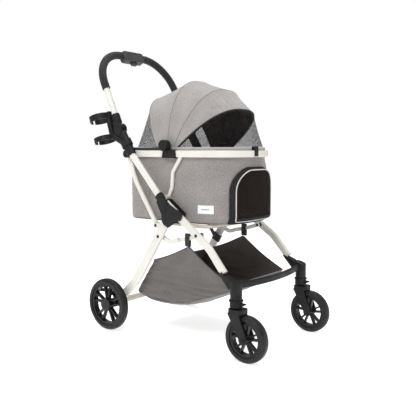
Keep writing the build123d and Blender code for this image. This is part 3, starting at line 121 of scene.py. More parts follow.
def coat_nodes(finish, *names):
    """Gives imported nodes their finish."""
    for name in names:
        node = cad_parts[name]
        node.data.materials.clear()
        node.data.materials.append(finish)


ivory_paint, nodes, links, shader = new_finish("ivory powder coat", (0.76, 0.74, 0.69), 0.36)
cloudy_color(nodes, links, shader, 9, ((0.3, (0.69, 0.665, 0.615)), (0.62, (0.77, 0.75, 0.70))))
grain_bump(nodes, links, shader, 1400, 0.08, 0.0002)
rubbed_roughness(nodes, links, shader, 22, 0.3, 0.46)
shader.inputs["Coat Weight"].default_value = 0.25
shader.inputs["Coat Roughness"].default_value = 0.22
coat_nodes(ivory_paint, "front_legs", "rear_legs", "push_tubes", "rail", "side_braces", "struts",
           "front_links", "rear_links", "strut_tabs")

# The support under the cabin and the axle tube get a darker, warmer copy of the ivory coat, which is
# painted shade for where they sit, low and under the cabin.
shade_painted_coat, nodes, links, shader = new_finish("ivory coat with painted shade", (0.62, 0.55, 0.46), 0.42)
cloudy_color(nodes, links, shader, 14, ((0.3, (0.56, 0.50, 0.42)), (0.65, (0.70, 0.64, 0.56))))
grain_bump(nodes, links, shader, 1400, 0.08, 0.0002)
rubbed_roughness(nodes, links, shader, 25, 0.34, 0.5)
coat_nodes(shade_painted_coat, "base_support", "rear_axle")

# ---------------------------------------------------------------- moulded fittings
# Hubs, sleeves, brackets, casters, cross bar and cup holder are glass-filled nylon, moulded in
# black with a fine spark-eroded grain that shines a little where it is rubbed.
black_nylon, nodes, links, shader = new_finish("black nylon", (0.018, 0.018, 0.019), 0.5)
cloudy_color(nodes, links, shader, 30, ((0.35, (0.008, 0.008, 0.009)), (0.7, (0.016, 0.016, 0.017))))
grain_bump(nodes, links, shader, 1900, 0.22, 0.00025)
rubbed_roughness(nodes, links, shader, 28, 0.4, 0.6)
shader.inputs["Specular IOR Level"].default_value = 0.22
both = ("left", "right")
coat_nodes(black_nylon, "hub_plates", "hub_covers", "lower_sleeves", "caster_housings",
           "front_cross_bar", "axle_brackets", "rail_brackets", "front_clip", "cup_holder",
           *(f"{part}_{side}" for part in ("caster_fork", "swivel_lock", "brake_pedal")
             for side in both))

# Rim and hub-cap mouldings are polypropylene, a touch glossier than the nylon.
rim_plastic, nodes, links, shader = new_finish("rim plastic", (0.022, 0.022, 0.024), 0.34)
cloudy_color(nodes, links, shader, 40, ((0.35, (0.006, 0.006, 0.007)), (0.7, (0.012, 0.012, 0.013))))
grain_bump(nodes, links, shader, 1500, 0.1, 0.0002)
shader.inputs["Specular IOR Level"].default_value = 0.27
rubbed_roughness(nodes, links, shader, 35, 0.26, 0.44)
coat_nodes(rim_plastic, *(f"{part}_{side}" for part in ("front_rim", "rear_rim", "rear_hub_cap")
                          for side in both))

# Bows are sprung strips of plain acetal that show only inside the canopy.
bow_acetal, nodes, links, shader = new_finish("bow acetal", (0.035, 0.032, 0.03), 0.4)
cloudy_color(nodes, links, shader, 25, ((0.35, (0.028, 0.026, 0.025)), (0.7, (0.05, 0.046, 0.043))))
grain_bump(nodes, links, shader, 900, 0.1, 0.0002)
coat_nodes(bow_acetal, "bow_rear", "bow_mid_rear", "bow_mid_front", "bow_front")

# Rivets are steel with black enamelled heads.
rivet_enamel, nodes, links, shader = new_finish("rivet enamel", (0.012, 0.012, 0.013), 0.22)
cloudy_color(nodes, links, shader, 120, ((0.35, (0.009, 0.009, 0.01)), (0.7, (0.02, 0.02, 0.022))))
grain_bump(nodes, links, shader, 700, 0.1, 0.0001)
shader.inputs["Metallic"].default_value = 0.3
coat_nodes(rivet_enamel, "front_rivets", "rear_rivets")

# ---------------------------------------------------------------- tyres
# Solid EVA tyres are moulded with a smooth crown that scuffs grey where it meets the floor.
tyre_eva, nodes, links, shader = new_finish("tyre rubber", (0.03, 0.03, 0.032), 0.45)
cloudy_color(nodes, links, shader, 60, ((0.3, (0.008, 0.008, 0.009)), (0.75, (0.018, 0.018, 0.019))))
grain_bump(nodes, links, shader, 1100, 0.3, 0.0003)
shader.inputs["Specular IOR Level"].default_value = 0.3
rubbed_roughness(nodes, links, shader, 45, 0.36, 0.56)
coat_nodes(tyre_eva, *(f"{end}_tyre_{side}" for end in ("front", "rear") for side in both))

# ---------------------------------------------------------------- handle
# The handle is an aluminium tube in the same ivory coat, in black sockets, with a foam grip in two
# lengths and a moulded release housing in the middle.
coat_nodes(ivory_paint, "handle_tube")
coat_nodes(black_nylon, "handle_sockets")

housing_plastic, nodes, links, shader = new_finish("housing plastic", (0.06, 0.061, 0.064), 0.5)
cloudy_color(nodes, links, shader, 30, ((0.35, (0.026, 0.026, 0.028)), (0.7, (0.042, 0.042, 0.045))))
grain_bump(nodes, links, shader, 1800, 0.25, 0.0003)
coat_nodes(housing_plastic, "release_housing", "release_trigger")

grip_foam, nodes, links, shader = new_finish("grip foam", (0.05, 0.05, 0.052), 0.82)
cloudy_color(nodes, links, shader, 160, ((0.35, (0.014, 0.014, 0.015)), (0.7, (0.03, 0.03, 0.032))))
pores = grain_bump(nodes, links, shader, 900, 0.5, 0.0006)
pores.inputs["Roughness"].default_value = 0.75
shader.inputs["Sheen Weight"].default_value = 0.1
shader.inputs["Specular IOR Level"].default_value = 0.25
coat_nodes(grip_foam, "grip")


# ---------------------------------------------------------------- cabin walls
# The cabin is a tub of grey melange polyester, lined in dark brown, sewn to a floor board and
# hung inside the rail. A welt closes its foot and an arch is cut out of its front.
def melange_cloth(name, dark, light, thread=0.0011):
    """Woven melange: flecks run along both threads, over a fine plain weave."""
    cloth, nodes, links, shader = new_finish(name, light, 0.93)
    shader.inputs["Sheen Weight"].default_value = 0.3
    shader.inputs["Sheen Roughness"].default_value = 0.6
    where = nodes.new("ShaderNodeTexCoord")
    flecks = []
    for stretch in ((0.22, 1, 1), (1, 0.22, 1)):
        turn = nodes.new("ShaderNodeMapping")
        turn.inputs["Scale"].default_value = stretch
        fleck = nodes.new("ShaderNodeTexNoise")
        fleck.inputs["Scale"].default_value = 540
        fleck.inputs["Detail"].default_value = 3
        fleck.inputs["Roughness"].default_value = 0.7
        links.new(where.outputs["UV"], turn.inputs["Vector"])
        links.new(turn.outputs["Vector"], fleck.inputs["Vector"])
        flecks.append(fleck)
    woven = nodes.new("ShaderNodeMath")
    woven.operation = "ADD"
    links.new(flecks[0].outputs["Fac"], woven.inputs[0])
    links.new(flecks[1].outputs["Fac"], woven.inputs[1])
    fade = nodes.new("ShaderNodeTexNoise")
    fade.inputs["Scale"].default_value = 14
    fade.inputs["Detail"].default_value = 4
    links.new(where.outputs["UV"], fade.inputs["Vector"])
    faded = nodes.new("ShaderNodeMath")
    faded.operation = "MULTIPLY_ADD"
    faded.inputs[1].default_value = 0.35
    links.new(fade.outputs["Fac"], faded.inputs[0])
    links.new(woven.outputs["Value"], faded.inputs[2])
    ramp = nodes.new("ShaderNodeValToRGB")
    ramp.color_ramp.elements[0].position = 0.33
    ramp.color_ramp.elements[0].color = (*dark, 1)
    ramp.color_ramp.elements[1].position = 0.60
    ramp.color_ramp.elements[1].color = (*light, 1)
    half = nodes.new("ShaderNodeMath")
    half.operation = "MULTIPLY"
    half.inputs[1].default_value = 0.4
    links.new(faded.outputs["Value"], half.inputs[0])
    links.new(half.outputs["Value"], ramp.inputs["Fac"])
    links.new(ramp.outputs["Color"], shader.inputs["Base Color"])
    heights = []
    for direction in ("X", "Y"):
        wave = nodes.new("ShaderNodeTexWave")
        wave.bands_direction = direction
        wave.inputs["Scale"].default_value = math.tau / 20 / thread
        wave.inputs["Distortion"].default_value = 0.6
        links.new(where.outputs["UV"], wave.inputs["Vector"])
        heights.append(wave)
    over = nodes.new("ShaderNodeMath")
    over.operation = "MAXIMUM"
    links.new(heights[0].outputs["Fac"], over.inputs[0])
    links.new(heights[1].outputs["Fac"], over.inputs[1])
    bump = nodes.new("ShaderNodeBump")
    bump.inputs["Strength"].default_value = 0.5
    bump.inputs["Distance"].default_value = 0.0004
    links.new(over.outputs["Value"], bump.inputs["Height"])
    links.new(bump.outputs["Normal"], shader.inputs["Normal"])
    return cloth


def sew_sheet(name, columns, rows, place, cut):
    """Cloth from a grid: place(s, t) says where each point hangs, cut is its flat size."""
    bpy.ops.object.select_all(action="DESELECT")
    bpy.ops.mesh.primitive_grid_add(x_subdivisions=columns, y_subdivisions=rows, size=2)
    piece = bpy.context.object
    piece.name = name
    piece.data.name = name
    flat = [((v.co.x + 1) / 2, (v.co.y + 1) / 2) for v in piece.data.vertices]
    for vertex, (s, t) in zip(piece.data.vertices, flat):
        vertex.co = place(s, t)
    thread_map = piece.data.uv_layers.active.data
    for loop in piece.data.loops:
        s, t = flat[loop.vertex_index]
        thread_map[loop.index].uv = (s * cut[0], t * cut[1])
    return piece


def pick(piece):
    """Makes the piece the only selected one."""
    bpy.ops.object.select_all(action="DESELECT")
    piece.select_set(True)
    bpy.context.view_layer.objects.active = piece


def close_seams(piece, gap=0.00005):
    """Joins the edges that meet, such as the two ends of a strip sewn into a ring."""
    pick(piece)
    bpy.ops.object.mode_set(mode="EDIT")
    bpy.ops.mesh.select_all(action="SELECT")
    bpy.ops.mesh.remove_doubles(threshold=gap)
    bpy.ops.object.mode_set(mode="OBJECT")


def face_away_from(piece, inside):
    """Turns the cloth's right side away from a point inside."""
    inside = Vector(inside)
    outward = sum((face.center - inside).dot(face.normal) * face.area
                  for face in piece.data.polygons)
    if outward < 0:
        pick(piece)
        bpy.ops.object.mode_set(mode="EDIT")
        bpy.ops.mesh.select_all(action="SELECT")
        bpy.ops.mesh.flip_normals()
        bpy.ops.object.mode_set(mode="OBJECT")


def back_with(piece, right_side, wrong_side, thickness):
    """Gives the cloth its thickness, with one finish on each side."""
    piece.data.materials.clear()
    piece.data.materials.append(right_side)
    piece.data.materials.append(wrong_side)
    pick(piece)
    wall = piece.modifiers.new("thickness", "SOLIDIFY")
    wall.thickness = thickness
    wall.offset = 0
    wall.use_even_offset = False
    wall.material_offset = 1
    bpy.ops.object.modifier_apply(modifier=wall.name)
    bpy.ops.object.shade_smooth_by_angle(angle=math.radians(50))
    return piece


def ripple(point, size, seed):
    """Soft unevenness of hung cloth, from -1 to 1."""
    return noise.noise(Vector(point) / size + Vector((seed, seed * 0.37, 0)))


cabin_grey = melange_cloth("cabin melange", (0.125, 0.114, 0.108), (0.385, 0.358, 0.345))
lining_brown, nodes, links, shader = new_finish("brown lining", (0.03, 0.022, 0.02), 0.9)
cloudy_color(nodes, links, shader, 60, ((0.3, (0.075, 0.045, 0.036)), (0.7, (0.150, 0.095, 0.078))))
grain_bump(nodes, links, shader, 1300, 0.6, 0.0006)
shader.inputs["Sheen Weight"].default_value = 0.25

CABIN_HALF = 0.1655
CABIN_FRONT = 0.2005
CABIN_REAR = -0.242
FRONT_BEND = 0.1275
REAR_BEND = 0.045


def cabin_walk():
    """Points round the cabin's plan from the middle of the rear, with their distances."""
    corners = ((CABIN_REAR, CABIN_HALF, REAR_BEND, 180), (CABIN_FRONT, CABIN_HALF, FRONT_BEND, 90),
               (CABIN_FRONT, -CABIN_HALF, FRONT_BEND, 0), (CABIN_REAR, -CABIN_HALF, REAR_BEND, -90))
    walk = [(Vector((CABIN_REAR, 0)), Vector((-1, 0)))]
    for x, y, bend, start in corners:
        centre = Vector((x - math.copysign(bend, x), y - math.copysign(bend, y)))
        for step in range(25):
            turn = math.radians(start - 90 * step / 24)
            away = Vector((math.cos(turn), math.sin(turn)))
            walk.append((centre + away * bend, away))
    walk.append(walk[0])
    far = [0.0]
    for (a, _), (b, _) in zip(walk, walk[1:]):
        far.append(far[-1] + (b - a).length)
    return walk, far


plan_walk, plan_far = cabin_walk()
CABIN_GIRTH = plan_far[-1]


WALL_LOW = 0.4165
RAIL_FOOT = 0.641
BULGE_DEPTH = 0.0075
BULGE_START = 0.075


def front_bulge(x, z):
    """How far the front wall billows out below the rail."""
    ahead = min(max((x - BULGE_START) / 0.1, 0), 1)
    below = min(max((RAIL_FOOT - z) / 0.05, 0), 1)
    above = min(max((z - WALL_LOW) / 0.02, 0), 1)
    return BULGE_DEPTH * math.prod(share * share * (3 - 2 * share) for share in (ahead, below, above))


def on_plan(distance, grow=0.0):
    """Plan point and outward direction at a distance round the cabin."""
    distance = min(max(distance, 0), CABIN_GIRTH)
    low = max(i for i, d in enumerate(plan_far[:-1]) if d <= distance)
    share = (distance - plan_far[low]) / max(plan_far[low + 1] - plan_far[low], 1e-9)
    point = plan_walk[low][0].lerp(plan_walk[low + 1][0], share)
    away = plan_walk[low][1].lerp(plan_walk[low + 1][1], share).normalized()
    return point + away * grow, away


DOOR_HALF = 0.108
DOOR_SILL = 0.424
DOOR_HEAD = 0.598
DOOR_BEND = 0.072


def door_outline(grow, count=96):
    """Closed arch outline in (y, z), from the middle of the sill, both feet square."""
    half, sill, head, bend = DOOR_HALF + grow, DOOR_SILL - grow, DOOR_HEAD + grow, DOOR_BEND + grow
    corner = [(half, sill), (half, head - bend)]
    corner += [(half - bend + bend * math.cos(math.radians(a)), head - bend + bend * math.sin(
        math.radians(a))) for a in range(6, 91, 6)]
    path = [(0, sill)] + corner + [(-y, z) for y, z in reversed(corner)] + [(0, sill)]
    far = [0.0]
    for a, b in zip(path, path[1:]):
        far.append(far[-1] + math.dist(a, b))
    points = []
    for step in range(count + 1):
        distance = far[-1] * step / count
        low = max(i for i, d in enumerate(far[:-1]) if d <= distance + 1e-12)
        share = (distance - far[low]) / max(far[low + 1] - far[low], 1e-9)
        points.append((path[low][0] + (path[low + 1][0] - path[low][0]) * share,
                       path[low][1] + (path[low + 1][1] - path[low][1]) * share))
    return points


def on_front(y, z, grow=0.0):
    """Point on the cabin's front at a given y and height."""
    beyond = max(abs(y) - (CABIN_HALF - FRONT_BEND), 0)
    x = CABIN_FRONT - FRONT_BEND + math.sqrt(max(FRONT_BEND ** 2 - beyond ** 2, 0))
    bend = FRONT_BEND + grow + front_bulge(x, z)
    return Vector((CABIN_FRONT - FRONT_BEND + math.sqrt(max(bend ** 2 - beyond ** 2, 0)), y, z))


WALL_HIGH = 0.6615
WALL_HEM = 0.011


def wall_place(s, t):
    z = WALL_LOW + (WALL_HIGH - WALL_LOW) * t
    hem = max(0, 1 - (z - WALL_LOW) / WALL_HEM)
    point, away = on_plan(s * CABIN_GIRTH)
    slack = math.sin(math.pi * t) ** 0.7
    billow = 0.0011 * ripple((point.x, point.y, z * 0.5), 0.07, 3)
    billow += 0.0005 * ripple((point.x, point.y, z), 0.018, 9)
    inset = WALL_HEM * 0.6 * hem ** 2 + 0.0012
    point = point + away * (billow * slack - inset + front_bulge(point.x, z))
    return Vector((point.x, point.y, z))


cabin_wall = sew_sheet("cabin_wall", 300, 62, wall_place, (CABIN_GIRTH, WALL_HIGH - WALL_LOW))
edge_y_z = door_outline(0, 400)
doomed = bmesh.new()
doomed.from_mesh(cabin_wall.data)


def in_doorway(point):
    y, z = abs(point.y), point.z
    if point.x < 0 or y > DOOR_HALF or not DOOR_SILL < z < DOOR_HEAD:
        return False
    side, top = y - (DOOR_HALF - DOOR_BEND), z - (DOOR_HEAD - DOOR_BEND)
    return side < 0 or top < 0 or math.hypot(side, top) < DOOR_BEND


cut_out = [f for f in doomed.faces if in_doorway(f.calc_center_median())]
bmesh.ops.delete(doomed, geom=cut_out, context="FACES")
for vertex in doomed.verts:
    if vertex.is_boundary and vertex.co.x > 0.03 and vertex.co.z < WALL_HIGH - 0.02 \
            and vertex.co.z > WALL_LOW + 0.001:
        y, z = min(edge_y_z, key=lambda p: math.dist(p, (vertex.co.y, vertex.co.z)))
        vertex.co = on_front(y, z, -0.0012)
doomed.to_mesh(cabin_wall.data)
doomed.free()
close_seams(cabin_wall)
face_away_from(cabin_wall, (-0.02, 0, 0.54))
back_with(cabin_wall, cabin_grey, lining_brown, 0.0022)
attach(cabin_wall, "push_frame")
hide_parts("cabin_shell")


# Floor board: hardboard in a sewn grey sleeve that closes the foot of the walls.
def floor_place(s, t):
    point, away = on_plan(s * CABIN_GIRTH, -WALL_HEM * 0.6)
    middle = Vector((-0.02, 0))
    point = middle.lerp(point, t ** 0.7)
    return Vector((point.x, point.y, WALL_LOW + 0.0004 - 0.0006 * t ** 6))


cabin_floor = sew_sheet("cabin_floor", 120, 12, floor_place, (0.44, 0.33))
for loop in cabin_floor.data.loops:
    at = cabin_floor.data.vertices[loop.vertex_index].co
    cabin_floor.data.uv_layers.active.data[loop.index].uv = (at.x, at.y)
close_seams(cabin_floor)
face_away_from(cabin_floor, (-0.02, 0, 0.54))
back_with(cabin_floor, cabin_grey, lining_brown, 0.0018)
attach(cabin_floor, "push_frame")


# Welts: dark piping sewn into the foot seam, round the doorway and up the side seams.
def sew_welt(name, points, radius, finish, body, closed=False):
    """Round piping along the given points."""
    line = bpy.data.curves.new(name, "CURVE")
    line.dimensions = "3D"
    spline = line.splines.new("NURBS")
    spline.points.add(len(points) - 1)
    for knot, point in zip(spline.points, points):
        knot.co = (*point, 1)
    spline.order_u = 3
    spline.use_endpoint_u = not closed
    spline.use_cyclic_u = closed
    spline.resolution_u = 2
    line.bevel_depth = radius
    line.bevel_resolution = 2
    line.use_fill_caps = True
    welt = bpy.data.objects.new(name, line)
    bpy.context.scene.collection.objects.link(welt)
    pick(welt)
    bpy.ops.object.convert(target="MESH")
    welt = bpy.context.object
    welt.data.materials.clear()
    welt.data.materials.append(finish)
    bpy.ops.object.shade_smooth()
    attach(welt, body)
    return welt


piping_dark, nodes, links, shader = new_finish("dark piping", (0.04, 0.037, 0.035), 0.8)
cloudy_color(nodes, links, shader, 500, ((0.35, (0.028, 0.026, 0.025)), (0.7, (0.07, 0.065, 0.06))))
grain_bump(nodes, links, shader, 1500, 0.6, 0.0004)
piping_grey, nodes, links, shader = new_finish("grey piping", (0.6, 0.58, 0.55), 0.8)
cloudy_color(nodes, links, shader, 500, ((0.35, (0.5, 0.48, 0.45)), (0.7, (0.7, 0.68, 0.65))))
grain_bump(nodes, links, shader, 1500, 0.6, 0.0004)

foot_line = [Vector((*on_plan(CABIN_GIRTH * i / 90, -0.0045)[0], WALL_LOW + 0.0035))
             for i in range(90)]
sew_welt("foot_welt", foot_line, 0.0021, piping_dark, "push_frame", closed=True)
arch_line = [on_front(y, z, 0.0002) for y, z in door_outline(0.001, 80)[:-1]]
sew_welt("doorway_binding", arch_line, 0.0022, piping_dark, "push_frame", closed=True)

# Side seams: lapped seams down the walls, where the side panels join the front and rear ones.
for seam_name, distance in (("rear_left", 0.26), ("rear_right", CABIN_GIRTH - 0.26),
                            ("front_left", 0.47), ("front_right", CABIN_GIRTH - 0.47)):
    seam_line = []
    for step in range(24):
        z = WALL_LOW + 0.006 + (WALL_HIGH - WALL_LOW - 0.008) * step / 23
        point, away = on_plan(distance, -0.0012)
        point = point + away * front_bulge(point.x, z)
        seam_line.append(Vector((point.x, point.y, z)))
    sew_welt(f"wall_seam_{seam_name}", seam_line, 0.0013, piping_dark if "rear" in seam_name
             else cabin_grey, "push_frame")

# ---------------------------------------------------------------- cabin label
# A white woven label is sewn to the right wall near its front, with a plain stitched border.
def ribbed_tape(nodes, links, shader, across, pitch, valley, crest, waver=0.0, relief=None):
    """Ribs of a woven tape in two colours, with an optional (strength, depth) relief."""
    where = nodes.new("ShaderNodeTexCoord")
    ribs = nodes.new("ShaderNodeTexWave")
    ribs.bands_direction = across
    ribs.inputs["Scale"].default_value = math.tau / 20 / pitch
    ribs.inputs["Distortion"].default_value = waver
    links.new(where.outputs["UV"], ribs.inputs["Vector"])
    ramp = nodes.new("ShaderNodeValToRGB")
    ramp.color_ramp.elements[0].color = (*valley, 1)
    ramp.color_ramp.elements[1].color = (*crest, 1)
    links.new(ribs.outputs["Fac"], ramp.inputs["Fac"])
    links.new(ramp.outputs["Color"], shader.inputs["Base Color"])
    if relief:
        bump = nodes.new("ShaderNodeBump")
        bump.inputs["Strength"].default_value = relief[0]
        bump.inputs["Distance"].default_value = relief[1]
        links.new(ribs.outputs["Fac"], bump.inputs["Height"])
        links.new(bump.outputs["Normal"], shader.inputs["Normal"])


label_white, nodes, links, shader = new_finish("woven label", (0.82, 0.83, 0.85), 0.6)
ribbed_tape(nodes, links, shader, "Y", 0.0009, (0.72, 0.73, 0.76), (0.88, 0.89, 0.9))
LABEL_START = CABIN_GIRTH - 0.535
LABEL_SIZE = (0.056, 0.028)
LABEL_FOOT = 0.452


def label_place(s, t):
    point, away = on_plan(LABEL_START + LABEL_SIZE[0] * (1 - s), 0.0008)
    z = LABEL_FOOT + LABEL_SIZE[1] * t
    point = point + away * (0.0004 * math.sin(math.pi * s) * math.sin(math.pi * t)
                            + front_bulge(point.x, z))
    return Vector((point.x, point.y, z))


cabin_label = sew_sheet("cabin_label", 24, 10, label_place, LABEL_SIZE)
face_away_from(cabin_label, (-0.02, 0, 0.47))
back_with(cabin_label, label_white, label_white, 0.0009)
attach(cabin_label, "push_frame")

# The label's mark is a plain row of zigzag stitches.
stitch_row = []
for step in range(33):
    point, away = on_plan(LABEL_START + LABEL_SIZE[0] * (0.26 + 0.48 * step / 32), 0.0016)
    z = LABEL_FOOT + 0.0125 + 0.003 * (step % 2)
    point = point + away * front_bulge(point.x, z)
    stitch_row.append(Vector((point.x, point.y, z)))
sew_welt("label_stitches", stitch_row, 0.0007, piping_dark, "push_frame")

# ---------------------------------------------------------------- cabin mat
# The mat is a foam pad in brown plush. It fills the floor and crowns up between piped edges.
MAT_LOW = 0.4192
MAT_HIGH = 0.444


def mat_place(s, t):
    """From the middle of the underside out to the edge and back over the top."""
    point, away = on_plan(s * CABIN_GIRTH, -0.0075)
    middle = Vector((-0.02, 0))
    if t < 0.3:
        share, z = (t / 0.3) ** 0.8 * 0.985, MAT_LOW
    elif t < 0.55:
        turn = math.pi * (t - 0.3) / 0.25
        share, z = 0.985 + 0.015 * math.sin(turn), MAT_LOW + 0.0105 * (1 - math.cos(turn))
    else:
        out = (1 - t) / 0.45
        share = out ** 0.8 * 0.985
        z = MAT_LOW + 0.021 + 0.0038 * (1 - out ** 3)
        z -= 0.0012 * max(0, 1 - abs(out - 0.55) / 0.05)
        z += 0.0006 * ripple((point.x * out, point.y * out, 0), 0.05, 5)
    point = middle.lerp(point, share)
    return Vector((point.x, point.y, min(z, MAT_HIGH + 0.001)))


cabin_cushion = sew_sheet("cabin_cushion", 120, 60, mat_place, (0.44, 0.33))
close_seams(cabin_cushion, 0.0002)
cabin_cushion.data.materials.clear()
cabin_cushion.data.materials.append(lining_brown)
face_away_from(cabin_cushion, (-0.02, 0, 0.432))
pick(cabin_cushion)
bpy.ops.object.shade_smooth()
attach(cabin_cushion, "push_frame")
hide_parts("cabin_mat")

# ---------------------------------------------------------------- rim band
# A folded binding joins the walls to the canopy. Its front is grey cloth, its rear a zip tape.
zip_black, nodes, links, shader = new_finish("zip tape", (0.02, 0.02, 0.021), 0.7)
ribbed_tape(nodes, links, shader, "X", 0.003, (0.012, 0.012, 0.013), (0.06, 0.06, 0.064),
            relief=(0.7, 0.0006))


BAND_MIDDLE = 0.6672


def band_place(s, t):
    """Round a soft oval section, 12 mm high and 4 mm thick."""
    turn = math.tau * t
    out = math.copysign(abs(math.cos(turn)) ** 0.6, math.cos(turn)) * 0.0022
    up = math.copysign(abs(math.sin(turn)) ** 0.6, math.sin(turn)) * 0.0059
    point, away = on_plan(s * CABIN_GIRTH, out - 0.0008)
    puff = 0.0003 * ripple((point.x, point.y, 0), 0.015, 7)
    return Vector((point.x + away.x * puff, point.y + away.y * puff, BAND_MIDDLE + up))


rim_binding = sew_sheet("rim_binding", 260, 14, band_place, (CABIN_GIRTH, 0.03))
close_seams(rim_binding)
rim_binding.data.materials.clear()
for finish in (melange_cloth("band melange", (0.26, 0.24, 0.225), (0.52, 0.49, 0.47)), zip_black):
    rim_binding.data.materials.append(finish)
for face in rim_binding.data.polygons:
    face.material_index = 1 if face.center.x < -0.03 else 0
bpy.ops.object.mode_set(mode="EDIT")
bpy.ops.mesh.select_all(action="SELECT")
bpy.ops.mesh.normals_make_consistent(inside=False)
bpy.ops.object.mode_set(mode="OBJECT")
bpy.ops.object.shade_smooth()
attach(rim_binding, "push_frame")
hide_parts("rim_band")


# ---------------------------------------------------------------- front door
# The door is a domed flap: open-knit mesh, piped in grey, stands off the wall on a black woven
# gusset. It unzips and hangs down from its foot.
def open_mesh(name, color, pitch, opening):
    """Knitted netting: threads cross both ways and leave see-through holes."""
    net, nodes, links, shader = new_finish(name, color, 0.8)
    shader.inputs["Specular IOR Level"].default_value = 0.12
    where = nodes.new("ShaderNodeTexCoord")
    slant = nodes.new("ShaderNodeMapping")
    slant.inputs["Rotation"].default_value = (0, 0, math.radians(45))
    links.new(where.outputs["UV"], slant.inputs["Vector"])
    threads = []
    for direction in ("X", "Y"):
        wave = nodes.new("ShaderNodeTexWave")
        wave.bands_direction = direction
        wave.inputs["Scale"].default_value = math.tau / 20 / pitch
        wave.inputs["Distortion"].default_value = 0.8
        wave.inputs["Detail Scale"].default_value = 2.0
        links.new(slant.outputs["Vector"], wave.inputs["Vector"])
        threads.append(wave)
    knit = nodes.new("ShaderNodeMath")
    knit.operation = "MAXIMUM"
    links.new(threads[0].outputs["Fac"], knit.inputs[0])
    links.new(threads[1].outputs["Fac"], knit.inputs[1])
    streak = nodes.new("ShaderNodeTexNoise")
    streak.inputs["Scale"].default_value = 130
    streak.inputs["Detail"].default_value = 2
    links.new(where.outputs["UV"], streak.inputs["Vector"])
    uneven = nodes.new("ShaderNodeMath")
    uneven.operation = "MULTIPLY_ADD"
    uneven.inputs[1].default_value = 0.5
    links.new(streak.outputs["Fac"], uneven.inputs[0])
    links.new(knit.outputs["Value"], uneven.inputs[2])
    cut = nodes.new("ShaderNodeMapRange")
    cut.inputs["From Min"].default_value = opening
    cut.inputs["From Max"].default_value = opening + 0.22
    cut.inputs["To Min"].default_value = 0.05
    cut.inputs["To Max"].default_value = 1.0
    links.new(uneven.outputs["Value"], cut.inputs["Value"])
    links.new(cut.outputs["Result"], shader.inputs["Alpha"])
    bump = nodes.new("ShaderNodeBump")
    bump.inputs["Strength"].default_value = 0.6
    bump.inputs["Distance"].default_value = 0.0006
    links.new(knit.outputs["Value"], bump.inputs["Height"])
    links.new(bump.outputs["Normal"], shader.inputs["Normal"])
    return net


door_net = open_mesh("door netting", (0.016, 0.011, 0.009), 0.0022, 0.90)
border_black, nodes, links, shader = new_finish("door border", (0.025, 0.025, 0.026), 0.75)
cloudy_color(nodes, links, shader, 300, ((0.35, (0.010, 0.010, 0.011)), (0.7, (0.026, 0.026, 0.028))))
grain_bump(nodes, links, shader, 1200, 0.6, 0.0005)
shader.inputs["Specular IOR Level"].default_value = 0.2
DOOR_DEPTH = 0.0155


def net_place(s, t):
    half, bend = DOOR_HALF - 0.001, DOOR_BEND - 0.001
    y = half * (2 * s - 1)
    side = max(abs(y) - (half - bend), 0)
    top = DOOR_HEAD - 0.001 - bend + math.sqrt(max(bend ** 2 - side ** 2, 0))
    z = DOOR_SILL + 0.005 + (top - DOOR_SILL - 0.005) * t
    crown = 0.0016 * math.sin(math.pi * s) * math.sin(math.pi * t)
    crown += 0.0006 * ripple((0, y, z), 0.04, 6) * math.sin(math.pi * t)
    return on_front(y, z, DOOR_DEPTH - 0.0015 + crown)


door_mesh = sew_sheet("door_mesh", 60, 44, net_place, (0.225, 0.173))
face_away_from(door_mesh, (0, 0, 0.51))
back_with(door_mesh, door_net, door_net, 0.0006)
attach(door_mesh, "door")
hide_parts("front_door")

front_arch = door_outline(-0.001, 120)
wall_arch = door_outline(0.0075, 120)


def gusset_place(s, t):
    """From the zip on the wall out to the piped front edge."""
    step = min(int(s * 120 + 0.5), 120)
    y = wall_arch[step][0] * (1 - t) + front_arch[step][0] * t
    z = wall_arch[step][1] * (1 - t) + front_arch[step][1] * t
    return on_front(y, z, 0.0016 + (DOOR_DEPTH - 0.0016) * t ** 0.8)


door_gusset = sew_sheet("door_gusset", 120, 8, gusset_place, (0.72, 0.019))
close_seams(door_gusset)
face_away_from(door_gusset, (0.1, 0, 0.51))
back_with(door_gusset, border_black, border_black, 0.0016)
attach(door_gusset, "door")
for name, grow, lift, radius, finish in (
        ("door_piping", -0.001, DOOR_DEPTH, 0.0021, piping_grey),
        ("door_zip_welt", 0.0078, 0.0018, 0.0012, piping_dark)):
    outline = [on_front(y, z, lift) for y, z in door_outline(grow, 90)[:-1]]
    sew_welt(name, outline, radius, finish, "door", closed=True)

# Sill strip: a folded black tape along the door's foot, under the netting.
def sill_place(s, t):
    y = (DOOR_HALF - 0.002) * (2 * s - 1)
    return on_front(y, DOOR_SILL - 0.0005 + 0.013 * t, DOOR_DEPTH + 0.0006 * math.sin(math.pi * t))


door_sill = sew_sheet("door_sill", 60, 4, sill_place, (0.222, 0.013))
face_away_from(door_sill, (0.1, 0, 0.43))
back_with(door_sill, border_black, border_black, 0.0012)
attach(door_sill, "door")

# Zip pull: a moulded tab on the slider at the door's lower right corner.
pull_at = on_front(-0.1165, 0.447, 0.0045)
bpy.ops.object.select_all(action="DESELECT")
bpy.ops.mesh.primitive_cube_add(size=1, location=pull_at, scale=(0.0024, 0.006, 0.017))
zip_pull = bpy.context.object
zip_pull.name = "door_zip_pull"
bpy.ops.object.transform_apply(location=True, rotation=True, scale=True)
bpy.ops.object.mode_set(mode="EDIT")
bpy.ops.mesh.select_all(action="SELECT")
bpy.ops.mesh.subdivide(number_cuts=2)
bpy.ops.mesh.bevel(offset=0.0006, segments=2)
bpy.ops.object.mode_set(mode="OBJECT")
zip_pull.data.materials.append(zip_black)
bpy.ops.object.shade_smooth_by_angle(angle=math.radians(40))
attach(zip_pull, "door")


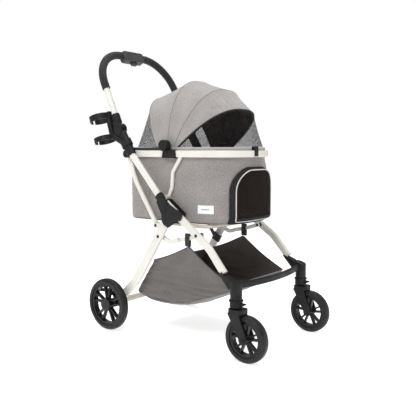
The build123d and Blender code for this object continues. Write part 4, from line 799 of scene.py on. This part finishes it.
# ---------------------------------------------------------------- canopy
# Three panels of lighter melange are sewn over the sprung bows in one fan, lined in brown. They
# sag slightly between the bows and pucker where the front hem is gathered.
BOWS = {"rear": (-0.095, 114.5, 0.210), "mid_rear": (-0.047, 85.9, 0.242),
        "mid_front": (-0.022, 61.8, 0.232), "front": (-0.007, 38.9, 0.214)}
CANOPY_FOOT = 0.668
CANOPY_HALF = 0.161


def arch_point(base_x, base_z, lean, height, roundness, turn, half=CANOPY_HALF):
    """Point on a bow's arch, from the left foot at 0 to the right foot at pi."""
    across = math.copysign(abs(math.cos(turn)) ** (2 / roundness), math.cos(turn)) * half
    up = height * max(math.sin(turn), 0) ** (2 / roundness)
    lean = math.radians(lean)
    return Vector((base_x + math.cos(lean) * up, across, base_z + math.sin(lean) * up))


def bow_point(bow, turn, sink=0.001):
    base_x, lean, height = BOWS[bow]
    return arch_point(base_x, CANOPY_FOOT, lean, height - sink, 2.56, turn, CANOPY_HALF - sink)


canopy_grey = melange_cloth("canopy melange", (0.165, 0.153, 0.146), (0.465, 0.435, 0.42))


def canopy_cloth(name, ahead, behind, sag, pucker):
    def place(s, t):
        turn = math.pi * s
        first = bow_point(ahead, turn)
        second = bow_point(behind, turn)
        point = first.lerp(second, t)
        middle = Vector(((BOWS[ahead][0] + BOWS[behind][0]) / 2, 0, CANOPY_FOOT - 0.03))
        inward = (middle - point).normalized()
        between = math.sin(math.pi * t)
        drop = sag * between * math.sin(turn) ** 0.6
        folds = ripple((turn * 1.1, 0, t * 0.16), 0.055, 4) + 0.6 * ripple((turn, 0, t * 0.1), 0.026, 8)
        folds += 0.8 * math.sin(46 * turn + 3 * ripple((turn, 0, 0), 0.4, 5))
        drop += pucker * folds * (1 - t) ** 1.5 * math.sin(math.pi * min(t * 3.0, 1) / 2) * (
            math.sin(turn) ** 0.4)
        drop += 0.0012 * ripple((point.x, point.y, point.z), 0.045, 2) * between
        return point + inward * max(drop, -0.0015)

    cloth = sew_sheet(name, 110, 26, place, (0.62, 0.11))
    face_away_from(cloth, (-0.03, 0, 0.70))
    return back_with(cloth, canopy_grey, lining_brown, 0.0016)


PANELS = (("canopy_cloth_rear", "mid_rear", "rear", "canopy_rear"),
          ("canopy_cloth_middle", "mid_front", "mid_rear", "canopy_middle"),
          ("canopy_cloth_front", "front", "mid_front", "canopy_front"))
for name, ahead, behind, node in PANELS:
    panel = canopy_cloth(name, ahead, behind, 0.0022, 0.0042 if ahead == "front" else 0.0012)
    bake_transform(panel)
    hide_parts(node)

# Seam welts over the two middle bows and the bound hem along the front and rear bows.
seam_grey, nodes, links, shader = new_finish("seam thread", (0.16, 0.15, 0.14), 0.85)
cloudy_color(nodes, links, shader, 600, ((0.35, (0.12, 0.11, 0.10)), (0.7, (0.24, 0.22, 0.21))))
grain_bump(nodes, links, shader, 1500, 0.6, 0.0004)
for bow, radius, finish, sink in (("mid_rear", 0.0009, seam_grey, 0.0002),
                                  ("mid_front", 0.0009, seam_grey, 0.0002),
                                  ("front", 0.0022, piping_dark, 0.0005),
                                  ("rear", 0.0014, seam_grey, 0.0003)):
    hem = [bow_point(bow, math.pi * i / 64, sink) for i in range(65)]
    sew_welt(f"canopy_hem_{bow}", hem, radius, finish, f"canopy_{bow}_bow")

# ---------------------------------------------------------------- canopy netting
# Netting closes the canopy in front and behind, from the end bows down to the zip on the rim.
canopy_net = open_mesh("canopy netting", (0.010, 0.010, 0.011), 0.0042, 1.06)
RIM_TOP = 0.6735


def rear_net_place(s, t):
    turn = math.pi * s
    first = arch_point(-0.095, CANOPY_FOOT, 114.5, 0.2085, 2.56, turn, CANOPY_HALF - 0.0015)
    second = arch_point(-0.107, RIM_TOP, 179.5, 0.130, 3.6, turn, CANOPY_HALF + 0.001)
    point = first.lerp(second, t)
    point.z -= 0.004 * math.sin(math.pi * t) * math.sin(turn) ** 0.5
    return point


rear_net = sew_sheet("rear_net", 90, 24, rear_net_place, (0.6, 0.2))
face_away_from(rear_net, (-0.1, 0, 0.67))
back_with(rear_net, canopy_net, canopy_net, 0.0006)
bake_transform(rear_net)
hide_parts("mesh_rear")


def front_net_place(s, t):
    turn = math.pi * s
    first = arch_point(-0.005, CANOPY_FOOT + 0.001, 38.9, 0.2115, 2.56, turn, CANOPY_HALF - 0.0025)
    second = arch_point(0.011, RIM_TOP, 0.5, 0.1865, 2.7, turn, CANOPY_HALF + 0.001)
    point = first.lerp(second, t)
    point.x -= 0.003 * math.sin(math.pi * t) * math.sin(turn) ** 0.5
    return point


front_net = sew_sheet("front_net", 90, 24, front_net_place, (0.6, 0.15))
face_away_from(front_net, (0, 0, 0.67))
back_with(front_net, canopy_net, canopy_net, 0.0006)
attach(front_net, "push_frame")
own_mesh(front_net)
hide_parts("mesh_front")


# ---------------------------------------------------------------- basket
# The basket is a sling of the same melange between the legs. It hangs from a webbing loop on
# each side, its hems run down to the corners, and its belly sags and folds under its own weight.
def on_path(path, share):
    """Point at a share of the length of a line of (x, z) points."""
    far = [0.0]
    for a, b in zip(path, path[1:]):
        far.append(far[-1] + math.dist(a, b))
    want = min(max(share, 0), 1) * far[-1]
    low = max(i for i, d in enumerate(far[:-1]) if d <= want + 1e-12)
    part = (want - far[low]) / max(far[low + 1] - far[low], 1e-9)
    return (path[low][0] + (path[low + 1][0] - path[low][0]) * part,
            path[low][1] + (path[low + 1][1] - path[low][1]) * part)


def smooth_path(points, count=60):
    """Catmull-Rom line through (x, z) points."""
    ends = [points[0], *points, points[-1]]
    line = []
    for i in range(1, len(ends) - 2):
        p0, p1, p2, p3 = ends[i - 1:i + 3]
        for step in range(count):
            u = step / count
            line.append(tuple(0.5 * (2 * b + (c - a) * u + (2 * a - 5 * b + 4 * c - d) * u * u
                                     + (3 * b - a - 3 * c + d) * u ** 3)
                              for a, b, c, d in zip(p0, p1, p2, p3)))
    return line + [points[-1]]


BASKET_HALF = 0.163
rear_end = [(-0.112, 0.2715), (-0.160, 0.199), (-0.202, 0.132)]
belly = smooth_path([(-0.202, 0.132), (-0.14, 0.109), (-0.05, 0.1065), (0.03, 0.118),
                     (0.10, 0.146), (0.165, 0.173), (0.217, 0.198)])
basket_under = rear_end[:-1] + belly + [(0.2275, 0.2255)]
basket_top = smooth_path([(-0.112, 0.2715), (-0.035, 0.297), (0.051, 0.3355)], 20) + smooth_path(
    [(0.051, 0.3355), (0.135, 0.276), (0.2275, 0.2255)], 20)[1:]
basket_grey = melange_cloth("basket melange", (0.055, 0.050, 0.047), (0.165, 0.152, 0.144))
SIDE_SHARE = 0.36


def basket_place(s, t):
    """Down the left side, across the belly and up the right side, from rear to front."""
    under = on_path(basket_under, t)
    top = on_path(basket_top, t)
    seam_lift = 0.017 * math.sin(math.pi * t) ** 0.8
    if s < SIDE_SHARE or s > 1 - SIDE_SHARE:
        down = (s if s < 0.5 else 1 - s) / SIDE_SHARE
        side = 1 if s < 0.5 else -1
        x = top[0] + (under[0] - top[0]) * down
        z = top[1] + (under[1] + seam_lift - top[1]) * down
        bulge = 0.007 * math.sin(math.pi * down) ** 1.2 * math.sin(math.pi * t)
        y = side * (BASKET_HALF - 0.009 * down ** 4 - bulge)
        fold = ripple((x * 0.35 + z * 0.5, z, side), 0.05, 11) * 0.009 * down
        fold += ripple((x * 0.25, z * 1.6, side), 0.022, 13) * 0.011 * down ** 1.5
        y += side * min(fold, 0.004) * math.sin(math.pi * t) ** 0.5
    else:
        along = (s - SIDE_SHARE) / (1 - 2 * SIDE_SHARE)
        x, z = under
        y = (BASKET_HALF - 0.009) * (1 - 2 * along)
        sag = math.sin(math.pi * along) * math.sin(math.pi * t)
        z += seam_lift * (1 - math.sin(math.pi * along) ** 0.45)
        z += 0.007 * ripple((x * 0.4, y * 1.3, 0), 0.05, 17) * sag
    return Vector((x, y, z))


basket_sling = sew_sheet("basket_sling", 150, 90, basket_place, (0.72, 0.5))
face_away_from(basket_sling, (0.03, 0, 0.26))
back_with(basket_sling, basket_grey, melange_cloth("basket wrong side", (0.050, 0.041, 0.037),
                                                   (0.13, 0.108, 0.098)), 0.0018)
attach(basket_sling, "front_frame")
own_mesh(basket_sling)
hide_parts("basket")

# Hems: bound edges along the basket's top and its low seams.
for side, sign in (("left", 1), ("right", -1)):
    hem = [Vector((x, sign * BASKET_HALF, z)) for x, z in (
        on_path(basket_top, i / 50) for i in range(51))]
    top_hem = sew_welt(f"basket_hem_{side}", hem, 0.0019, piping_dark, "front_frame")
    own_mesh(top_hem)
    low = [basket_place(SIDE_SHARE * 0.995 if sign > 0 else 1 - SIDE_SHARE * 0.995, i / 60)
           for i in range(2, 59)]
    low_seam = sew_welt(f"basket_seam_{side}", low, 0.0015, seam_grey, "front_frame")
    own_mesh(low_seam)

# ---------------------------------------------------------------- webbing
# Black polypropylene webbing, ribbed along its length: two loops carry the basket from the
# front links, and a band on the left rear leg holds the fold pull.
webbing, nodes, links, shader = new_finish("black webbing", (0.018, 0.018, 0.019), 0.75)
ribbed_tape(nodes, links, shader, "Y", 0.0016, (0.01, 0.01, 0.011), (0.04, 0.04, 0.042), 0.5,
            (0.8, 0.0005))

for side, sign in (("left", 1), ("right", -1)):
    def loop_place(s, t, sign=sign):
        """Round the link and down to the basket's peak, as a flattened ring."""
        turn = math.tau * s
        y = 0.169 + math.copysign(abs(math.cos(turn)) ** 0.5, math.cos(turn)) * 0.0043
        z = 0.359 + math.copysign(abs(math.sin(turn)) ** 0.6, math.sin(turn)) * 0.0222
        return Vector((0.041 + 0.020 * t, sign * y, z))

    loop = sew_sheet(f"basket_loop_{side}", 44, 6, loop_place, (0.1, 0.02))
    close_seams(loop)
    face_away_from(loop, (0.051, sign * 0.169, 0.359))
    back_with(loop, webbing, webbing, 0.0012)
    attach(loop, "front_frame")
    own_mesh(loop)
    if side == "left":
        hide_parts("basket_straps")

band_low, band_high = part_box("fold_strap")


def leg_band_place(s, t):
    """Flat-oval band round the leg, 30 mm along it."""
    axis = Vector((-0.4895, 0, -0.872))
    wide = Vector((0.872, 0, -0.4895))
    turn = math.tau * s
    around = wide * math.copysign(abs(math.cos(turn)) ** 0.7, math.cos(turn)) * 0.0176
    depth = math.copysign(abs(math.sin(turn)) ** 0.55, math.sin(turn)) * 0.0088
    middle = Vector(((band_low.x + band_high.x) / 2, (band_low.y + band_high.y) / 2,
                     (band_low.z + band_high.z) / 2))
    return middle + around + Vector((0, depth, 0)) + axis * 0.030 * (t - 0.5)


leg_band = sew_sheet("leg_band", 48, 8, leg_band_place, (0.09, 0.03))
close_seams(leg_band)
face_away_from(leg_band, (band_low + band_high) / 2)
back_with(leg_band, webbing, webbing, 0.0012)
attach(leg_band, "rear_frame")
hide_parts("fold_strap")

# The fold strap's upper half hangs from under the carrier down to the leg band. It comes off the
# band before the frame folds, and is gathered up under the carrier.
STRAP_LINE = ((-0.126, 0.147, 0.4150), (-0.121, 0.153, 0.392), (-0.111, 0.160, 0.366),
              (-0.099, 0.164, 0.342), (-0.088, 0.1665, 0.322))
STRAP_WIDTH = 0.020


def strap_place(s, t):
    at = t * (len(STRAP_LINE) - 1)
    low = min(int(at), len(STRAP_LINE) - 2)
    point = Vector(STRAP_LINE[low]).lerp(Vector(STRAP_LINE[low + 1]), at - low)
    return point + Vector((0.9, -0.25, 0.35)).normalized() * STRAP_WIDTH * (s - 0.5)


carrier_strap = sew_sheet("carrier_strap", 6, 24, strap_place, (STRAP_WIDTH, 0.103))
face_away_from(carrier_strap, (0, 0.1, 0.38))
back_with(carrier_strap, webbing, webbing, 0.0014)
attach(carrier_strap, "push_frame")
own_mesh(carrier_strap)

# ---------------------------------------------------------------- floor, light and camera
# Plain pale studio floor, one large soft box over the left shoulder, a weak fill and white air.
bpy.ops.object.select_all(action="DESELECT")
bpy.ops.mesh.primitive_plane_add(size=60, location=(0, 0, 0))
studio_floor = bpy.context.object
studio_floor.name = "studio_floor"
pale, nodes, links, shader = new_finish("pale floor", (0.88, 0.88, 0.88), 0.9)
shader.inputs["Specular IOR Level"].default_value = 0.0
shader.inputs["Emission Color"].default_value = (1, 1, 1, 1)
shader.inputs["Emission Strength"].default_value = 0.62
studio_floor.data.materials.append(pale)

air = bpy.data.worlds.new("white air")
air.use_nodes = True
air.node_tree.nodes["Background"].inputs["Color"].default_value = (1, 1, 1, 1)
nodes, links = air.node_tree.nodes, air.node_tree.links
seen = nodes.new("ShaderNodeLightPath")
share = nodes.new("ShaderNodeMapRange")
share.inputs["To Min"].default_value = 0.5
share.inputs["To Max"].default_value = 1.0
links.new(seen.outputs["Is Camera Ray"], share.inputs["Value"])
links.new(share.outputs["Result"], nodes["Background"].inputs["Strength"])
bpy.context.scene.world = air


def soft_box(name, at, aim, size, power):
    light = bpy.data.lights.new(name, "AREA")
    light.shape = "DISK"
    light.size = size
    light.energy = power
    lamp = bpy.data.objects.new(name, light)
    lamp.location = at
    lamp.rotation_euler = (Vector(aim) - Vector(at)).to_track_quat("-Z", "Y").to_euler()
    bpy.context.scene.collection.objects.link(lamp)


soft_box("key", (0.6, -2.2, 2.6), (0, 0, 0.5), 1.3, 40)
soft_box("top", (-0.5, 0.3, 3.0), (0, 0, 0.5), 1.6, 34)
soft_box("fill", (2.6, 0.8, 1.2), (0, 0, 0.4), 1.6, 8)

yaw, tilt = math.radians(37.72), math.radians(5.595)
looking = Vector((-math.sin(yaw) * math.cos(tilt), math.cos(yaw) * math.cos(tilt), -math.sin(tilt)))
lens = bpy.data.cameras.new("camera")
lens.lens = 51.54
lens.sensor_width = 36
camera = bpy.data.objects.new("camera", lens)
camera.location = (1.33029, -1.71204, 0.66472)
camera.rotation_euler = looking.to_track_quat("-Z", "Y").to_euler()
bpy.context.scene.collection.objects.link(camera)
bpy.context.scene.camera = camera
bpy.context.scene.view_settings.view_transform = "Standard"
